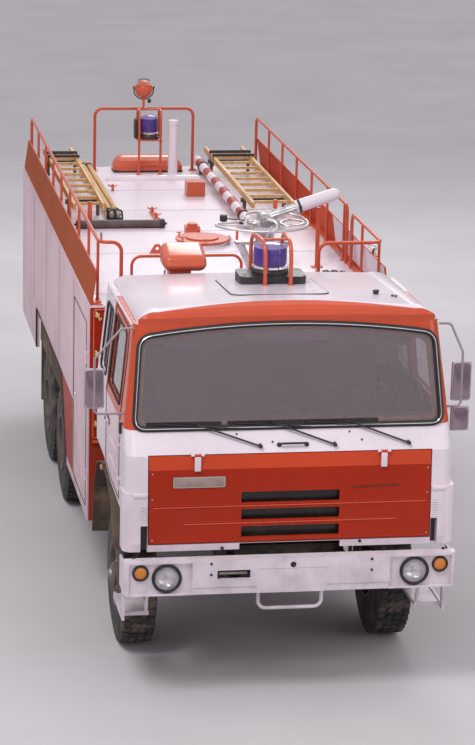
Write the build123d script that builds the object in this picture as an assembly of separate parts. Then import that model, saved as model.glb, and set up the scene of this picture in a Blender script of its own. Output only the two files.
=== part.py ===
from build123d import *
import os
from math import cos, pi, radians, sin

# Water tanker fire truck with three driven axles and a tilting cab.
# Millimetres. X points to the truck's left and is counted from its middle plane, Z
# points up. Stations along Y are counted rearwards from the lamps' front edge.
# save() moves all of it so that the origin is on the ground under the middle of the
# outer box, which the right mirror's longer arm draws a little to its side.

# Overall sizes
LENGTH = 8600
HALF_WIDTH = 1250
RUN = 7          # gap round every piece that moves
FIT = 0.3        # gap between curved faces that seat in one another

# Wheels
TYRE_R = 542.5
TYRE_W = 290
TYRE_SIDES = 44
BEAD_R = 254
TWIN_GAP = 40
FRONT_AXLE_Y = 1400
REAR_AXLE_Y = 5100
AXLE_STEP = 1320
FRONT_WHEEL_X = HALF_WIDTH - 240
TWIN_INNER_X = HALF_WIDTH - 528
TWIN_OUTER_X = TWIN_INNER_X + TYRE_W + TWIN_GAP
STUB_R = 40
KINGPIN_X = FRONT_WHEEL_X - 140
KINGPIN_R = 18
YOKE_X = KINGPIN_X - 80
KNUCKLE_R = 45
KNUCKLE_H = 170
HOUSING = 200

# Chassis
TUBE_R = 115
TUBE_Z = 640
RAIL_X = 460
RAIL_LOW = 880
RAIL_TOP = 1130
RAIL_W = 80
RAIL_FRONT = 350
RAIL_REAR = LENGTH - 300
CROSS_LOW = 920
CROSS_TOP = 1090
SADDLES = (FRONT_AXLE_Y + 900, REAR_AXLE_Y - 800, REAR_AXLE_Y + AXLE_STEP / 2)
HITCH_Y = LENGTH - 140
HITCH_Z = 1005
HITCH_EYE_R = 22

# Bumper
BUMPER_LOW = 845
BUMPER_TOP = 1110
BUMPER_DEPTH = 105
BUMPER_WALL = 30
LAMP_X = HALF_WIDTH - 316
LAMP_Z = 976
LAMP_R = 112
BLINKER_X = HALF_WIDTH - 121
BLINKER_Z = 1022
BLINKER_R = 62
RECESS = 20

# Cab
CAB_HALF = HALF_WIDTH - 20
CAB_TOP_HALF = CAB_HALF - 90
CORNER_R = 90
CAB_TOP = 2870
CAB_WALL = 40
CAB_REAR = 2000
PIVOT_Y = 200
PIVOT_Z = 1150
PIVOT_R = 18
SCREEN_Y = 260
SCREEN_LOW = 2040
SCREEN_LEAN = 172 / 810
HEADER_Z = 2800
HEADER_Y = SCREEN_Y + (HEADER_Z - SCREEN_LOW) * SCREEN_LEAN
SCREEN_HALF = CAB_HALF - 77
EAVE_Z = 2765
FLAP_HALF = CAB_HALF - 170
FLAP_LOW = 1210
FLAP_TOP = 1874
FLOOR_Z = 1490
FLOOR_T = 30
DOOR_FRONT = 540
DOOR_REAR = 1400
DOOR_WINDOW = [(640, 2130), (1340, 2130), (1340, 2670), (690, 2670)]
REAR_WINDOW = [(1500, 2130), (1850, 2130), (1850, 2650), (1500, 2650)]

# Mirrors
MIRROR_RIGHT = CAB_HALF + 210
MIRROR_LEFT = CAB_HALF + 100
MIRROR_Y = 390
BOX_SHIFT = (MIRROR_RIGHT - MIRROR_LEFT) / 2

# Hinges
PIN_R = 5
BARREL_R = 9
HINGE_OUT = BARREL_R + FIT
DOOR_HINGES = (1560, 1900)
FLAP_HINGE_X = 700
FLAP_AXIS = (150 - HINGE_OUT, FLAP_TOP + RUN / 2)

# Roof beacon
BEACON_X = 40
BEACON_Y = 1450
BEACON_BASE_TOP = 2947
BEACON_R = 125

# Superstructure
BODY_FRONT = 2480
BODY_REAR = LENGTH - 30
BODY_WALL = 30
BODY_LOW = 1345
SKIRT_LOW = 630
DECK_Z = 2457
DECK_T = 20
BAY_BACK = 4100
PUMP_BAY = BODY_REAR - 970
ARCH_FRONT = REAR_AXLE_Y - 515
ARCH_REAR = REAR_AXLE_Y + AXLE_STEP + 515
LOCKER = (BODY_FRONT + 100, BODY_FRONT + 1100, 700, 2300)     # opening: from, to, low, top
PUMP_DOOR = (HALF_WIDTH - 350, 1400, 2330)                    # half width, low, top
ROOF_BOX_REAR = BODY_REAR - 70
SPARE_X = 700
SPARE_Z = 2215
HATCH_X = 30
HATCH_Y = 4800
HATCH_R = 240
HATCH_HINGE_X = HATCH_X + 255
HATCH_HINGE_Z = DECK_Z + 43
BOARD_TOP = 2740
RAIL_TUBE_R = 15
RAIL_TUBE_X = HALF_WIDTH - 85
RAIL_TUBE_Z = 2970
RAIL_BEND = 80
LADDERS = ((-1050, -750), (620, 1030))                        # x from, x to
LADDER_Z = 2610
LADDER_REAR = BODY_REAR - 30
LADDER_LONG = 2940
PIPE_AHEAD = 100                                              # suction pipe in front of the ladders

# Monitor
MONITOR_X = 400
MONITOR_Y = 3770
MONITOR_PIVOT_Z = 2900
BARREL_RISE = 17.9
RING_R = 405


def block(x0, x1, y0, y1, z0, z1):
    """Box between two corners."""
    size = (x1 - x0, y1 - y0, z1 - z0)
    middle = ((x0 + x1) / 2, (y0 + y1) / 2, (z0 + z1) / 2)
    return Pos(*middle) * Box(*size)


def rod(start, end, r):
    """Round bar between two points."""
    a, b = Vector(*start), Vector(*end)
    plane = Plane(origin=a, z_dir=b - a)
    return extrude(plane * Circle(r), (b - a).length)


def bent_tube(points, r, bend):
    """Round bar along straight runs joined by arcs."""
    path = FilletPolyline(*points, radius=bend)
    section = Plane(origin=path @ 0, z_dir=path % 0) * Circle(r)
    return sweep(section, path=path)


def side_prism(points, x0, x1):
    """Outline of (y, z) points, extruded from x0 to x1."""
    face = make_face(Polyline(*[(x0, y, z) for y, z in points], close=True))
    return extrude(face, amount=x1 - x0, dir=(1, 0, 0))


def front_prism(points, y0, y1):
    """Outline of (x, z) points, extruded from y0 to y1."""
    face = make_face(Polyline(*[(x, y0, z) for x, z in points], close=True))
    return extrude(face, amount=y1 - y0, dir=(0, 1, 0))


def plan_prism(points, z0, z1):
    """Outline of (x, y) points, extruded from z0 to z1."""
    face = make_face(Polyline(*[(x, y, z0) for x, y in points], close=True))
    return extrude(face, amount=z1 - z0, dir=(0, 0, 1))


def both(shape):
    """A shape and its mirror image on the other side of the truck."""
    return Compound(children=list(shape.solids()) + list(mirror(shape, Plane.YZ).solids()))


def group(*shapes):
    """Solids that share a node without touching."""
    return Compound(children=[solid for shape in shapes for solid in shape.solids()])


def save(name, shape):
    """Write a node in the frame of the outer box."""
    solids = [Pos(BOX_SHIFT, -LENGTH / 2, 0) * solid for solid in shape.solids()]
    export_step(solids[0] if len(solids) == 1 else Compound(children=solids), f"parts/{name}.step")


def strip(points, thickness, x0, x1):
    """Sheet of even thickness that follows (y, z) points, on their outer side."""
    outer = []
    for i, (y, z) in enumerate(points):
        y_a, z_a = points[max(i - 1, 0)]
        y_b, z_b = points[min(i + 1, len(points) - 1)]
        run = ((y_b - y_a) ** 2 + (z_b - z_a) ** 2) ** 0.5
        outer.append((y - (z_b - z_a) / run * thickness, z + (y_b - y_a) / run * thickness))
    return side_prism(points + outer[::-1], x0, x1)


def hinge(place, leaf=(-HINGE_OUT - 1, -4), reach=32):
    """Barrel hinge at a location whose Z is the pin, X the moving side and Y the outside.

    Gives the fixed half with its pin, and the moving half, whose leaf spans leaf and reach."""
    fixed = Cylinder(PIN_R, 100)
    for z in (-37.5, 37.5):
        fixed += Pos(0, 0, z) * Cylinder(BARREL_R, 25)
        fixed += block(-32, 0, -HINGE_OUT - 1, -4, z - 12.5, z + 12.5)
    moving = Cylinder(BARREL_R, 49) + block(0, reach, *leaf, -24.5, 24.5)
    moving -= Cylinder(PIN_R + FIT, 60)
    return place * fixed, place * moving


# Wheels

def tyre(x):
    """Tyre whose tread and shoulders are flats round the axle, at x from the truck's middle."""
    flat = cos(pi / TYRE_SIDES)
    half = TYRE_W / 2
    # offset from the tyre's middle, radius to the flats
    sections = [(-half, 470), (-118, TYRE_R), (118, TYRE_R), (half, 470)]

    def ring(dx, r):
        plane = Plane((x + dx, 0, 0), x_dir=(0, 1, 0), z_dir=(1, 0, 0))
        return plane * Rot(0, 0, 180 / TYRE_SIDES) * RegularPolygon(r / flat, TYRE_SIDES)

    outside = loft([ring(dx, r) for dx, r in sections], ruled=True)
    return outside - extrude(ring(-half - 1, BEAD_R + FIT), TYRE_W + 2)


def turned(profile):
    """Solid of revolution about the X axis from (x, radius) points."""
    face = make_face(Polyline(*[(x, 0, r) for x, r in profile], close=True))
    return revolve(face, axis=Axis.X)


def front_rim():
    """Front wheel disc with drum and hub, its outer side towards +X, its middle at x = 0."""
    half = TYRE_W / 2
    barrel = turned([(-half, 236), (-half, BEAD_R), (half, BEAD_R), (half, 236)])
    disc = turned([(85, 60), (60, 160), (60, 240), (75, 240), (75, 165), (100, 120), (100, 60)])
    hub = turned([(55, STUB_R + FIT), (55, 95), (150, 95), (165, 70), (165, 0), (140, 0), (140, STUB_R + FIT)])
    holes = [Pos(55, 200 * cos(a), 200 * sin(a)) * Rot(0, 90, 0) * Cylinder(24, 60)
             for a in [radians(36 * i) for i in range(10)]]
    drum = turned([(0, 185), (0, 200), (62, 200), (62, 90), (56, 90), (56, 185)])
    return (barrel + disc + hub + drum) - Compound(children=holes)


def twin_rims():
    """Rear twin rims with one hub, outer side towards +X, x counted from the truck's middle."""
    rims = None
    for x in (TWIN_INNER_X, TWIN_OUTER_X):
        half = TYRE_W / 2
        barrel = Pos(x, 0, 0) * turned([(-half, 236), (-half, BEAD_R), (half, BEAD_R), (half, 236)])
        rims = barrel if rims is None else rims + barrel
    middle = (TWIN_INNER_X + TWIN_OUTER_X) / 2
    disc = turned([(middle - 20, 90), (middle - 20, 240), (middle + 20, 240), (middle + 20, 90)])
    web_r = BEAD_R - 8
    web = turned([(middle - 20, 236), (middle - 20, web_r), (middle + 20, web_r), (middle + 20, 236)])
    inner, outer = TWIN_INNER_X - 60, TWIN_OUTER_X - 60
    hub = turned([(inner, STUB_R + FIT), (inner, 110), (middle + 60, 110), (middle + 110, 80), (middle + 110, 0),
                  (outer, 0), (outer, STUB_R + FIT)])
    holes = [Pos(middle, 185 * cos(a), 185 * sin(a)) * Rot(0, 90, 0) * Cylinder(24, 60)
             for a in [radians(36 * i) for i in range(10)]]
    return (rims + disc + web + hub) - Compound(children=holes)


def wheels():
    """Six wheels: single tyres in front, twins behind."""
    for side, sign in (("left", 1), ("right", -1)):
        for axle, y in (("front", FRONT_AXLE_Y), ("middle", REAR_AXLE_Y), ("rear", REAR_AXLE_Y + AXLE_STEP)):
            if axle == "front":
                tyres = [tyre(FRONT_WHEEL_X)]
                rim = Pos(FRONT_WHEEL_X, 0, 0) * front_rim()
            else:
                tyres = [tyre(TWIN_INNER_X), tyre(TWIN_OUTER_X)]
                rim = twin_rims()
            place = Pos(0, y, TYRE_R)
            rubber = place * Compound(children=tyres)
            metal = place * rim
            if sign < 0:
                rubber, metal = mirror(rubber, Plane.YZ), mirror(metal, Plane.YZ)
            save(f"tyre_{axle}_{side}", rubber)
            save(f"rim_{axle}_{side}", metal)


# Chassis

def chassis_tube():
    """Backbone tube with an axle housing at each axle."""
    tube = rod((0, FRONT_AXLE_Y - 450, TUBE_Z), (0, REAR_AXLE_Y + AXLE_STEP + 380, TUBE_Z), TUBE_R)
    for y in (FRONT_AXLE_Y, REAR_AXLE_Y, REAR_AXLE_Y + AXLE_STEP):
        housing = block(-HOUSING, HOUSING, y - 210, y + 210, 430, 840)
        tube += fillet(housing.edges().filter_by(Axis.X), 60)
    for y in SADDLES:
        tube += block(-80, 80, y - 40, y + 40, TUBE_Z, CROSS_LOW)
    save("chassis_tube", tube)


def suspension():
    """Swinging half axles, their yokes and hub stubs, and the rear leaf springs."""
    z = TYRE_R
    front = rod((HOUSING, FRONT_AXLE_Y, z), (YOKE_X - 20, FRONT_AXLE_Y, z), 60)
    y0, y1 = FRONT_AXLE_Y - 40, FRONT_AXLE_Y + 40
    arm = KNUCKLE_H / 2 + RUN
    front += block(YOKE_X - 40, YOKE_X, y0, y1, z - arm - 22, z + arm + 22)
    for low in (z - arm - 22, z + arm):
        front += block(YOKE_X - 1, KINGPIN_X + 40, y0, y1, low, low + 22)
    front += Pos(KINGPIN_X, FRONT_AXLE_Y, z) * Cylinder(KINGPIN_R, 2 * arm + 10)
    pieces = [front]
    for y in (REAR_AXLE_Y, REAR_AXLE_Y + AXLE_STEP):
        axle = rod((HOUSING, y, z), (560, y, z), 60)
        pieces.append(axle + rod((550, y, z), (TWIN_OUTER_X - 80, y, z), STUB_R))
    mid = REAR_AXLE_Y + AXLE_STEP / 2
    top = z + 60 + FIT
    leaf = side_prism([(REAR_AXLE_Y - 80, top), (mid - 200, top + 150), (mid + 200, top + 150),
                       (REAR_AXLE_Y + AXLE_STEP + 80, top), (REAR_AXLE_Y + AXLE_STEP + 80, top + 30),
                       (mid + 120, RAIL_LOW - FIT), (mid - 120, RAIL_LOW - FIT), (REAR_AXLE_Y - 80, top + 30)],
                      RAIL_X - RAIL_W, RAIL_X)
    pieces.append(leaf)
    save("suspension", both(group(*pieces)))


def knuckles():
    """Steered knuckle between the yoke's arms, with the stub that carries the hub."""
    z = TYRE_R
    body = Pos(KINGPIN_X, FRONT_AXLE_Y, z) * Cylinder(KNUCKLE_R, KNUCKLE_H)
    stub = rod((KINGPIN_X, FRONT_AXLE_Y, z), (FRONT_WHEEL_X + 135, FRONT_AXLE_Y, z), STUB_R)
    left = body + stub - Pos(KINGPIN_X, FRONT_AXLE_Y, z) * Cylinder(KINGPIN_R + FIT, KNUCKLE_H + 10)
    save("knuckle_left", left)
    save("knuckle_right", mirror(left, Plane.YZ))


def frame_rails():
    """Two channel rails, cross members, bumper arms, cab pivot brackets and tow hitch."""
    wall = 8
    inner = RAIL_X - RAIL_W
    rail = block(RAIL_X - wall, RAIL_X, RAIL_FRONT, RAIL_REAR, RAIL_LOW, RAIL_TOP)
    for low in (RAIL_LOW, RAIL_TOP - wall):
        rail += block(inner, RAIL_X, RAIL_FRONT, RAIL_REAR, low, low + wall)
    rail += block(inner, RAIL_X, BUMPER_DEPTH, RAIL_FRONT + 10, 900, 1050)
    rail += block(inner, RAIL_X, BUMPER_WALL, BUMPER_DEPTH, 900, 950)
    y0, y1 = PIVOT_Y - 25, PIVOT_Y + 25
    for x in (RAIL_X + 10, RAIL_X + 80):
        rail += block(x, x + 20, y0, y1, 1000, PIVOT_Z + 32)
    rail += rod((RAIL_X - 10, PIVOT_Y, PIVOT_Z), (RAIL_X + 100, PIVOT_Y, PIVOT_Z), PIVOT_R)
    rail += block(RAIL_X - 10, RAIL_X + 100, y0, y1, 980, 1010)
    frame = rail + mirror(rail, Plane.YZ)
    half = RAIL_X - wall / 2
    for y in (RAIL_FRONT + 70, *SADDLES, PUMP_BAY - 450, RAIL_REAR - 80):
        frame += block(-half, half, y - 40, y + 40, CROSS_LOW, CROSS_TOP)
    hitch = block(-90, 90, RAIL_REAR - 45, RAIL_REAR + 30, HITCH_Z - 75, HITCH_Z + 75)
    hitch += rod((0, RAIL_REAR, HITCH_Z), (0, HITCH_Y - 30, HITCH_Z), 45)
    hitch += Pos(0, HITCH_Y, HITCH_Z) * Cylinder(60, 70)
    save("frame_rails", frame + (hitch - Pos(0, HITCH_Y, HITCH_Z) * Cylinder(HITCH_EYE_R, 100)))


def engine_block():
    """Engine and gearbox as one block on arms that reach the rails' webs."""
    engine = block(-330, 330, 900, 2100, 845, 1550)
    for y in (1000, 1960):
        engine += block(-RAIL_X + 8, RAIL_X - 8, y, y + 80, 950, 1010)
    save("engine_block", engine)


def chassis_tanks():
    """Fuel tank, air tanks and silencer under the superstructure."""
    y0, y1 = BODY_FRONT + 140, BAY_BACK - 200
    fuel = block(-700 + FIT, -RAIL_X, y0, y1, 640, 1130)
    fuel = fillet(fuel.edges().filter_by(Axis.Y), 60)
    air = rod((580, y0 + 80, 780), (580, y1, 780), 115)
    for y in (y0 + 180, y1 - 200):
        air += block(RAIL_X, 560, y, y + 40, 780, 1000)
    pipe = rod((580, y0 + 80, 1080), (580, y1 - 400, 1080), 90)
    pipe += block(RAIL_X, 520, y0 + 280, y0 + 310, 1040, 1110)
    save("chassis_tanks", group(fuel, air, pipe))


# Bumper, lamps, mudguards

def front_bumper():
    """Bumper with lamp recesses, side returns, step tube below and entry steps behind its ends."""
    outer = block(-HALF_WIDTH, HALF_WIDTH, 0, 300, BUMPER_LOW, BUMPER_TOP)
    outer = fillet(outer.edges().filter_by(Axis.Z).group_by(Axis.Y)[0], 60)
    end = HALF_WIDTH - 15
    bumper = outer - block(-end, end, BUMPER_WALL, 301, BUMPER_LOW + 15, BUMPER_TOP - 15)
    bumper -= block(-HALF_WIDTH, HALF_WIDTH, BUMPER_DEPTH, 301, BUMPER_TOP - 30, BUMPER_TOP)
    bumper -= block(-end, end, BUMPER_DEPTH, 301, BUMPER_LOW, BUMPER_LOW + 20)
    bumper -= both(block(LAMP_X - 189, HALF_WIDTH - 35, 0, RECESS, BUMPER_LOW + 15, BUMPER_TOP - 18))
    bumper -= both(block(260, 740, 0, 6, BUMPER_LOW, 900))
    bumper -= block(-560, -310, 0, BUMPER_WALL, 960, 1030)
    bumper -= block(-260, 260, 0, 4, 1027, 1033)
    bumper -= Pos(10, 15, 1060) * Rot(90, 0, 0) * Cylinder(18, 40)
    for x, z, r in ((LAMP_X, LAMP_Z, LAMP_R), (BLINKER_X, BLINKER_Z, BLINKER_R)):
        bumper -= both(Pos(x, BUMPER_WALL, z) * Rot(90, 0, 0) * Cylinder(r - 12 + FIT, 40))
    top = BUMPER_LOW + 5
    step = bent_tube([(-240, 60, top), (-240, 60, 705), (240, 60, 705), (240, 60, top)], 14, 60)
    cheek = side_prism([(240, 900), (240, 575), (760, 575), (760, 620), (300, 620), (300, 840), (300, 900)],
                       end - 20, end + FIT)
    treads = block(HALF_WIDTH - 230, end - 19, 330, 755, 580, 610)
    treads += block(HALF_WIDTH - 230, end - 19, 262, 298, 830, 860)
    treads += rod((HALF_WIDTH - 210, 280, 845), (HALF_WIDTH - 210, 345, 595), 14)
    steps = cheek + treads
    save("front_bumper", (bumper + step + steps) + mirror(steps, Plane.YZ))


def headlamps():
    """Head lamps: bowl, dark ring and lens in one body, set in the bumper's recess."""
    bowl = Pos(LAMP_X, 55, LAMP_Z) * Rot(90, 0, 0) * Cylinder(LAMP_R - 12, 2 * (55 - RECESS))
    ring = Pos(LAMP_X, RECESS / 2, LAMP_Z) * Rot(90, 0, 0) * (Cylinder(LAMP_R, RECESS) - Cylinder(92, RECESS))
    lens = Pos(LAMP_X, RECESS - 4, LAMP_Z) * Rot(90, 0, 0) * Cylinder(92, 8)
    save("headlamps", both(bowl + ring + lens))


def marker_lamps():
    """Indicators in the bumper, side lamps on the mudguards and tail lamps."""
    ring = Pos(BLINKER_X, 12, BLINKER_Z) * Rot(90, 0, 0) * Cylinder(BLINKER_R, 2 * (RECESS - 12))
    stem = Pos(BLINKER_X, 35, BLINKER_Z) * Rot(90, 0, 0) * Cylinder(BLINKER_R - 12, 30)
    tail = block(HALF_WIDTH - 290, HALF_WIDTH - 50, BODY_REAR, LENGTH, 1010, 1100)
    side = block(HALF_WIDTH - 10, HALF_WIDTH + 10, 1460, 1530, 1375, 1410)
    save("marker_lamps", both(group(ring + stem, tail, side)))


def mudguards():
    """Front mudguards over the steered wheels, and rear arches with pleated trim and flaps."""
    skin, y = HALF_WIDTH - 10, FRONT_AXLE_Y
    front = strip([(y - 610, 950), (y - 550, 1120), (y - 400, 1280), (y - 150, 1375), (y + 210, 1400),
                   (y + 500, 1310), (y + 690, 1060), (y + 780, 640)], 10, HALF_WIDTH - 380, skin)
    front += block(RAIL_X, 900, y + 180, y + 220, 1085, 1125) + block(880, 900, y + 180, y + 220, 1085, 1405)
    inner = HALF_WIDTH - 47
    arch = block(560, inner + 2, ARCH_FRONT, ARCH_REAR + 60, BODY_LOW - 15, BODY_LOW)
    arch += block(600, inner, ARCH_REAR + 50, ARCH_REAR + 60, 420, BODY_LOW)
    pleats = 34
    step = (ARCH_REAR - ARCH_FRONT) / pleats
    outer = [(inner + 9 + 10 * (i % 2), ARCH_FRONT + i * step / 2) for i in range(2 * pleats + 1)]
    trim = plan_prism([(inner, ARCH_FRONT)] + outer + [(inner, ARCH_REAR)], 1060, BODY_LOW)
    save("mudguards", both(group(front, arch + trim)))


# Cab

def cab_front(z, inset=0):
    """Station of the screen plane at height z, moved inwards by inset."""
    return SCREEN_Y + (z - SCREEN_LOW) * SCREEN_LEAN + inset


def cab_side(z, inset=0):
    """Half width of the cab at height z, moved inwards by inset."""
    lean = (CAB_HALF - CAB_TOP_HALF) / (CAB_TOP - SCREEN_LOW)
    return CAB_HALF - max(z - SCREEN_LOW, 0) * lean - inset


def roof_line(y):
    """Height of the joint between cab walls and roof."""
    return HEADER_Z + (y - HEADER_Y) * (EAVE_Z - HEADER_Z) / (CAB_REAR - HEADER_Y)


def cab_section(z, front, half, rear, r):
    """Plan of the cab at height z, its front corners rounded by r."""
    bend = r * (1 - cos(radians(45)))
    return make_face([
        Line((r - half, front, z), (half - r, front, z)),
        ThreePointArc((half - r, front, z), (half - bend, front + bend, z), (half, front + r, z)),
        Line((half, front + r, z), (half, rear, z)),
        Line((half, rear, z), (-half, rear, z)),
        Line((-half, rear, z), (-half, front + r, z)),
        ThreePointArc((-half, front + r, z), (bend - half, front + bend, z), (r - half, front, z))])


def cab_outside():
    """Outer form of the cab below the roof."""
    # height, station of the front
    rows = [(PIVOT_Z, 120), (FLAP_LOW, 110), (FLAP_TOP, 150), (SCREEN_LOW, SCREEN_Y),
            (CAB_TOP, cab_front(CAB_TOP))]
    body = loft([cab_section(z, y, cab_side(z), CAB_REAR, CORNER_R) for z, y in rows], ruled=True)
    profile = side_prism([(0, PIVOT_Z), (0, roof_line(0)), (CAB_REAR, EAVE_Z), (CAB_REAR, FLOOR_Z),
                          (1500, 1480), (1100, 1410), (300, 1380), (300, PIVOT_Z)], -HALF_WIDTH, HALF_WIDTH)
    return body & profile


def cab_inside(t=CAB_WALL):
    """Room within the cab's walls, open towards the floor and the roof."""
    over = CAB_TOP + 60
    # height, station of the front wall's inner face
    rows = [(PIVOT_Z - 50, 225), (FLAP_TOP + 10, 225), (SCREEN_LOW, cab_front(SCREEN_LOW, t)),
            (over, cab_front(over, t))]
    return loft([cab_section(z, y, cab_side(z, t), CAB_REAR - t, CORNER_R - t) for z, y in rows], ruled=True)


def door_outline(gap, draw=0):
    """Door seen from the side, as (y, z) points, larger by gap, its top rear corner drawn in by draw."""
    front, rear, top = DOOR_FRONT - gap, DOOR_REAR + gap, 2740 + gap
    return [(front, 1415 - gap), (1100, 1430 - gap), (rear, 1480 - gap), (rear - draw, top), (front + 60, top),
            (front, 2560)]


def window(points, x0, x1, r=40):
    """Side window opening with rounded corners, from (y, z) points."""
    face = make_face(Polyline(*[(x0, y, z) for y, z in points], close=True))
    return fillet(extrude(face, amount=x1 - x0, dir=(1, 0, 0)).edges().filter_by(Axis.X), r)


def screen_opening(inset):
    """Windscreen outline with an arched top, cut through the front wall, smaller by inset."""
    low, side, top = SCREEN_LOW + 15 + inset, SCREEN_HALF - inset, SCREEN_HALF - 50 - inset
    bottom = Line((-side, 0, low), (side, 0, low))
    right = Line((side, 0, low), (top, 0, 2706 - inset))
    arch = ThreePointArc((top, 0, 2706 - inset), (0, 0, 2790 - inset), (-top, 0, 2706 - inset))
    left = Line((-top, 0, 2706 - inset), (-side, 0, low))
    opening = extrude(make_face([bottom, right, arch, left]), amount=700, dir=(0, 1, 0))
    return fillet(opening.edges().filter_by(Axis.Y), 90)


def door_hinge(z):
    """Place of a left cab door hinge at height z."""
    return Location(Plane((CAB_HALF + HINGE_OUT, DOOR_FRONT - RUN / 2, z), x_dir=(0, 1, 0), z_dir=(0, 0, -1)))


def flap_hinge_fixed(x):
    """Fixed half of a flap hinge: pin along X and two barrels that reach back to the cowl."""
    y, z = FLAP_AXIS
    half = rod((x - 50, y, z), (x + 50, y, z), PIN_R)
    for x0, x1 in ((x - 50, x - 25), (x + 25, x + 50)):
        half += rod((x0, y, z), (x1, y, z), BARREL_R)
        half += block(x0, x1, y, 185, z + 4, z + BARREL_R + 4)
    return half


def flap_hinge_moving(x):
    """Moving half of a flap hinge: barrel with a strap down the flap's face."""
    y, z = FLAP_AXIS
    half = rod((x - 24, y, z), (x + 24, y, z), BARREL_R)
    half += block(x - 24, x + 24, y - 4, 152, 1795, z)
    return half - rod((x - 60, y, z), (x + 60, y, z), PIN_R + FIT)


def cab_shell():
    """Cab walls with the flap's recess, windscreen, side windows and door openings cut."""
    walls = cab_outside() - cab_inside()
    fairing = block(FLAP_HALF + 8, HALF_WIDTH, 122, 300, PIVOT_Z, 1600)
    outer_edge = fairing.edges().filter_by(Axis.Z).group_by(Axis.X)[-1].sort_by(Axis.Y)[0]
    fairing = fillet(outer_edge, 70)
    walls = walls + both(fairing)
    half = FLAP_HALF + RUN
    walls -= block(-half, half, 0, 185, FLAP_LOW - RUN, FLAP_TOP + RUN)
    walls -= block(-FLAP_HALF, FLAP_HALF, 140, 300, 1100, 1200)
    walls -= block(-380, 380, 0, 300, 1100, 1200)
    walls -= both(block(FLAP_HALF + 8, FLAP_HALF + 60, 0, 180, 1140, 1350))
    walls -= screen_opening(0)
    opening = side_prism(door_outline(RUN), 1000, HALF_WIDTH + 50)
    walls -= both(opening)
    walls -= both(window(REAR_WINDOW, 1000, HALF_WIDTH))
    walls -= block(-450, 450, CAB_REAR - 100, CAB_REAR + 10, 1400, 1680)
    x = RAIL_X + 40
    ear = block(x, x + 30, PIVOT_Y - 22, PIVOT_Y + 22, PIVOT_Z - 22, 1201)
    ear -= rod((x - 10, PIVOT_Y, PIVOT_Z), (x + 40, PIVOT_Y, PIVOT_Z), PIVOT_R + FIT)
    for z in DOOR_HINGES:
        ear += hinge(door_hinge(z))[0]
    for x in (-FLAP_HINGE_X, FLAP_HINGE_X):
        walls += flap_hinge_fixed(x)
    save("cab_shell", walls + ear + mirror(ear, Plane.YZ))


def cab_floor():
    """Floor plate with the raised engine cover."""
    half = CAB_HALF - CAB_WALL
    floor = block(-half, half, 225, CAB_REAR - CAB_WALL, FLOOR_Z, FLOOR_Z + FLOOR_T)
    floor -= block(-450, 450, 850, CAB_REAR, 1400, 1600)
    floor -= both(block(FLAP_HALF + 8, CAB_HALF, 200, 300, 1400, 1600))
    cover = block(-480, 480, 820, CAB_REAR - CAB_WALL, FLOOR_Z, 1640)
    cover -= block(-450, 450, 850, CAB_REAR, 1400, 1610)
    save("cab_floor", floor + cover)


def roof_outside():
    """Outer form of the crowned roof between the screen's header and the rear wall."""
    # station, how far the sides are drawn in, crown height
    rows = [(HEADER_Y, 0, 2858), (HEADER_Y + 20, 5, 2900), (HEADER_Y + 45, 12, 2925),
            (HEADER_Y + 105, 28, 2945), (CAB_REAR, 40, 2825)]
    side = cab_side(HEADER_Z)
    roof = loft([roof_section(y, side - draw, roof_line(y), crown) for y, draw, crown in rows], ruled=True)
    plan = block(-side, side, HEADER_Y, CAB_REAR + 10, 2700, 3000)
    return roof & fillet(plan.edges().filter_by(Axis.Z).group_by(Axis.Y)[0], CORNER_R)


def roof_section(y, half, edge, crown, drop=0):
    """Section of the roof at station y: flat below, round shoulders, arched above, lowered by drop."""
    low, wide = edge - drop, 170
    side, inner = low + 8, half - wide
    top = side + 0.62 * (crown - edge)
    bend, waist = half - 0.27 * wide, 0.3 * side + 0.7 * top
    return make_face([Line((-half, y, low), (half, y, low)), Line((half, y, low), (half, y, side)),
                      ThreePointArc((half, y, side), (bend, y, waist), (inner, y, top)),
                      ThreePointArc((inner, y, top), (0, y, crown - drop), (-inner, y, top)),
                      ThreePointArc((-inner, y, top), (-bend, y, waist), (-half, y, side)),
                      Line((-half, y, side), (-half, y, low))])


def cab_roof():
    """Roof panel, hollow below."""
    rows = [(HEADER_Y + 60, 2920), (CAB_REAR - 40, 2830)]
    inner = loft([roof_section(y, CAB_TOP_HALF - 90, roof_line(y) - 1, crown, drop=30) for y, crown in rows],
                 ruled=True)
    save("cab_roof", roof_outside() - inner)


def glass_slab(inset, thickness):
    """Thin layer within the cab's side walls, both sides."""
    rows = [(2050, 0), (2800, 0), (2800, thickness), (2050, thickness)]
    return both(front_prism([(cab_side(z, inset + t), z) for z, t in rows], 300, CAB_REAR))


def cab_glass():
    """Windscreen and the small side windows behind the doors."""
    low, top = 2000, 2840
    slab = side_prism([(cab_front(low, 12), low), (cab_front(top, 12), top), (cab_front(top, 18), top),
                       (cab_front(low, 18), low)], -HALF_WIDTH, HALF_WIDTH)
    screen = slab & screen_opening(0.5)
    pane = [(1500.5, 2130.5), (1849.5, 2130.5), (1849.5, 2649.5), (1500.5, 2649.5)]
    side = glass_slab(15, 5) & both(window(pane, 1000, HALF_WIDTH))
    save("cab_glass", group(screen, side))


def doors():
    """Cab doors, hinged at their front edge, with their glass."""
    walls = (cab_outside() - cab_inside()) & side_prism(door_outline(0, 8), 1000, HALF_WIDTH)
    door = walls - window(DOOR_WINDOW, 1000, HALF_WIDTH)
    handle = block(CAB_HALF, CAB_HALF + 18, 1180, 1320, 1840, 1865)
    door = door + handle
    for z in DOOR_HINGES:
        door += hinge(door_hinge(z))[1]
    pane = glass_slab(15, 5) & window([(641, 2130.5), (1339.5, 2130.5), (1339.5, 2669.5), (691, 2669.5)],
                                      1000, HALF_WIDTH)
    save("door_left", door)
    save("door_right", mirror(door, Plane.YZ))
    save("door_glass_left", pane)
    save("door_glass_right", mirror(pane, Plane.YZ))


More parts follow.
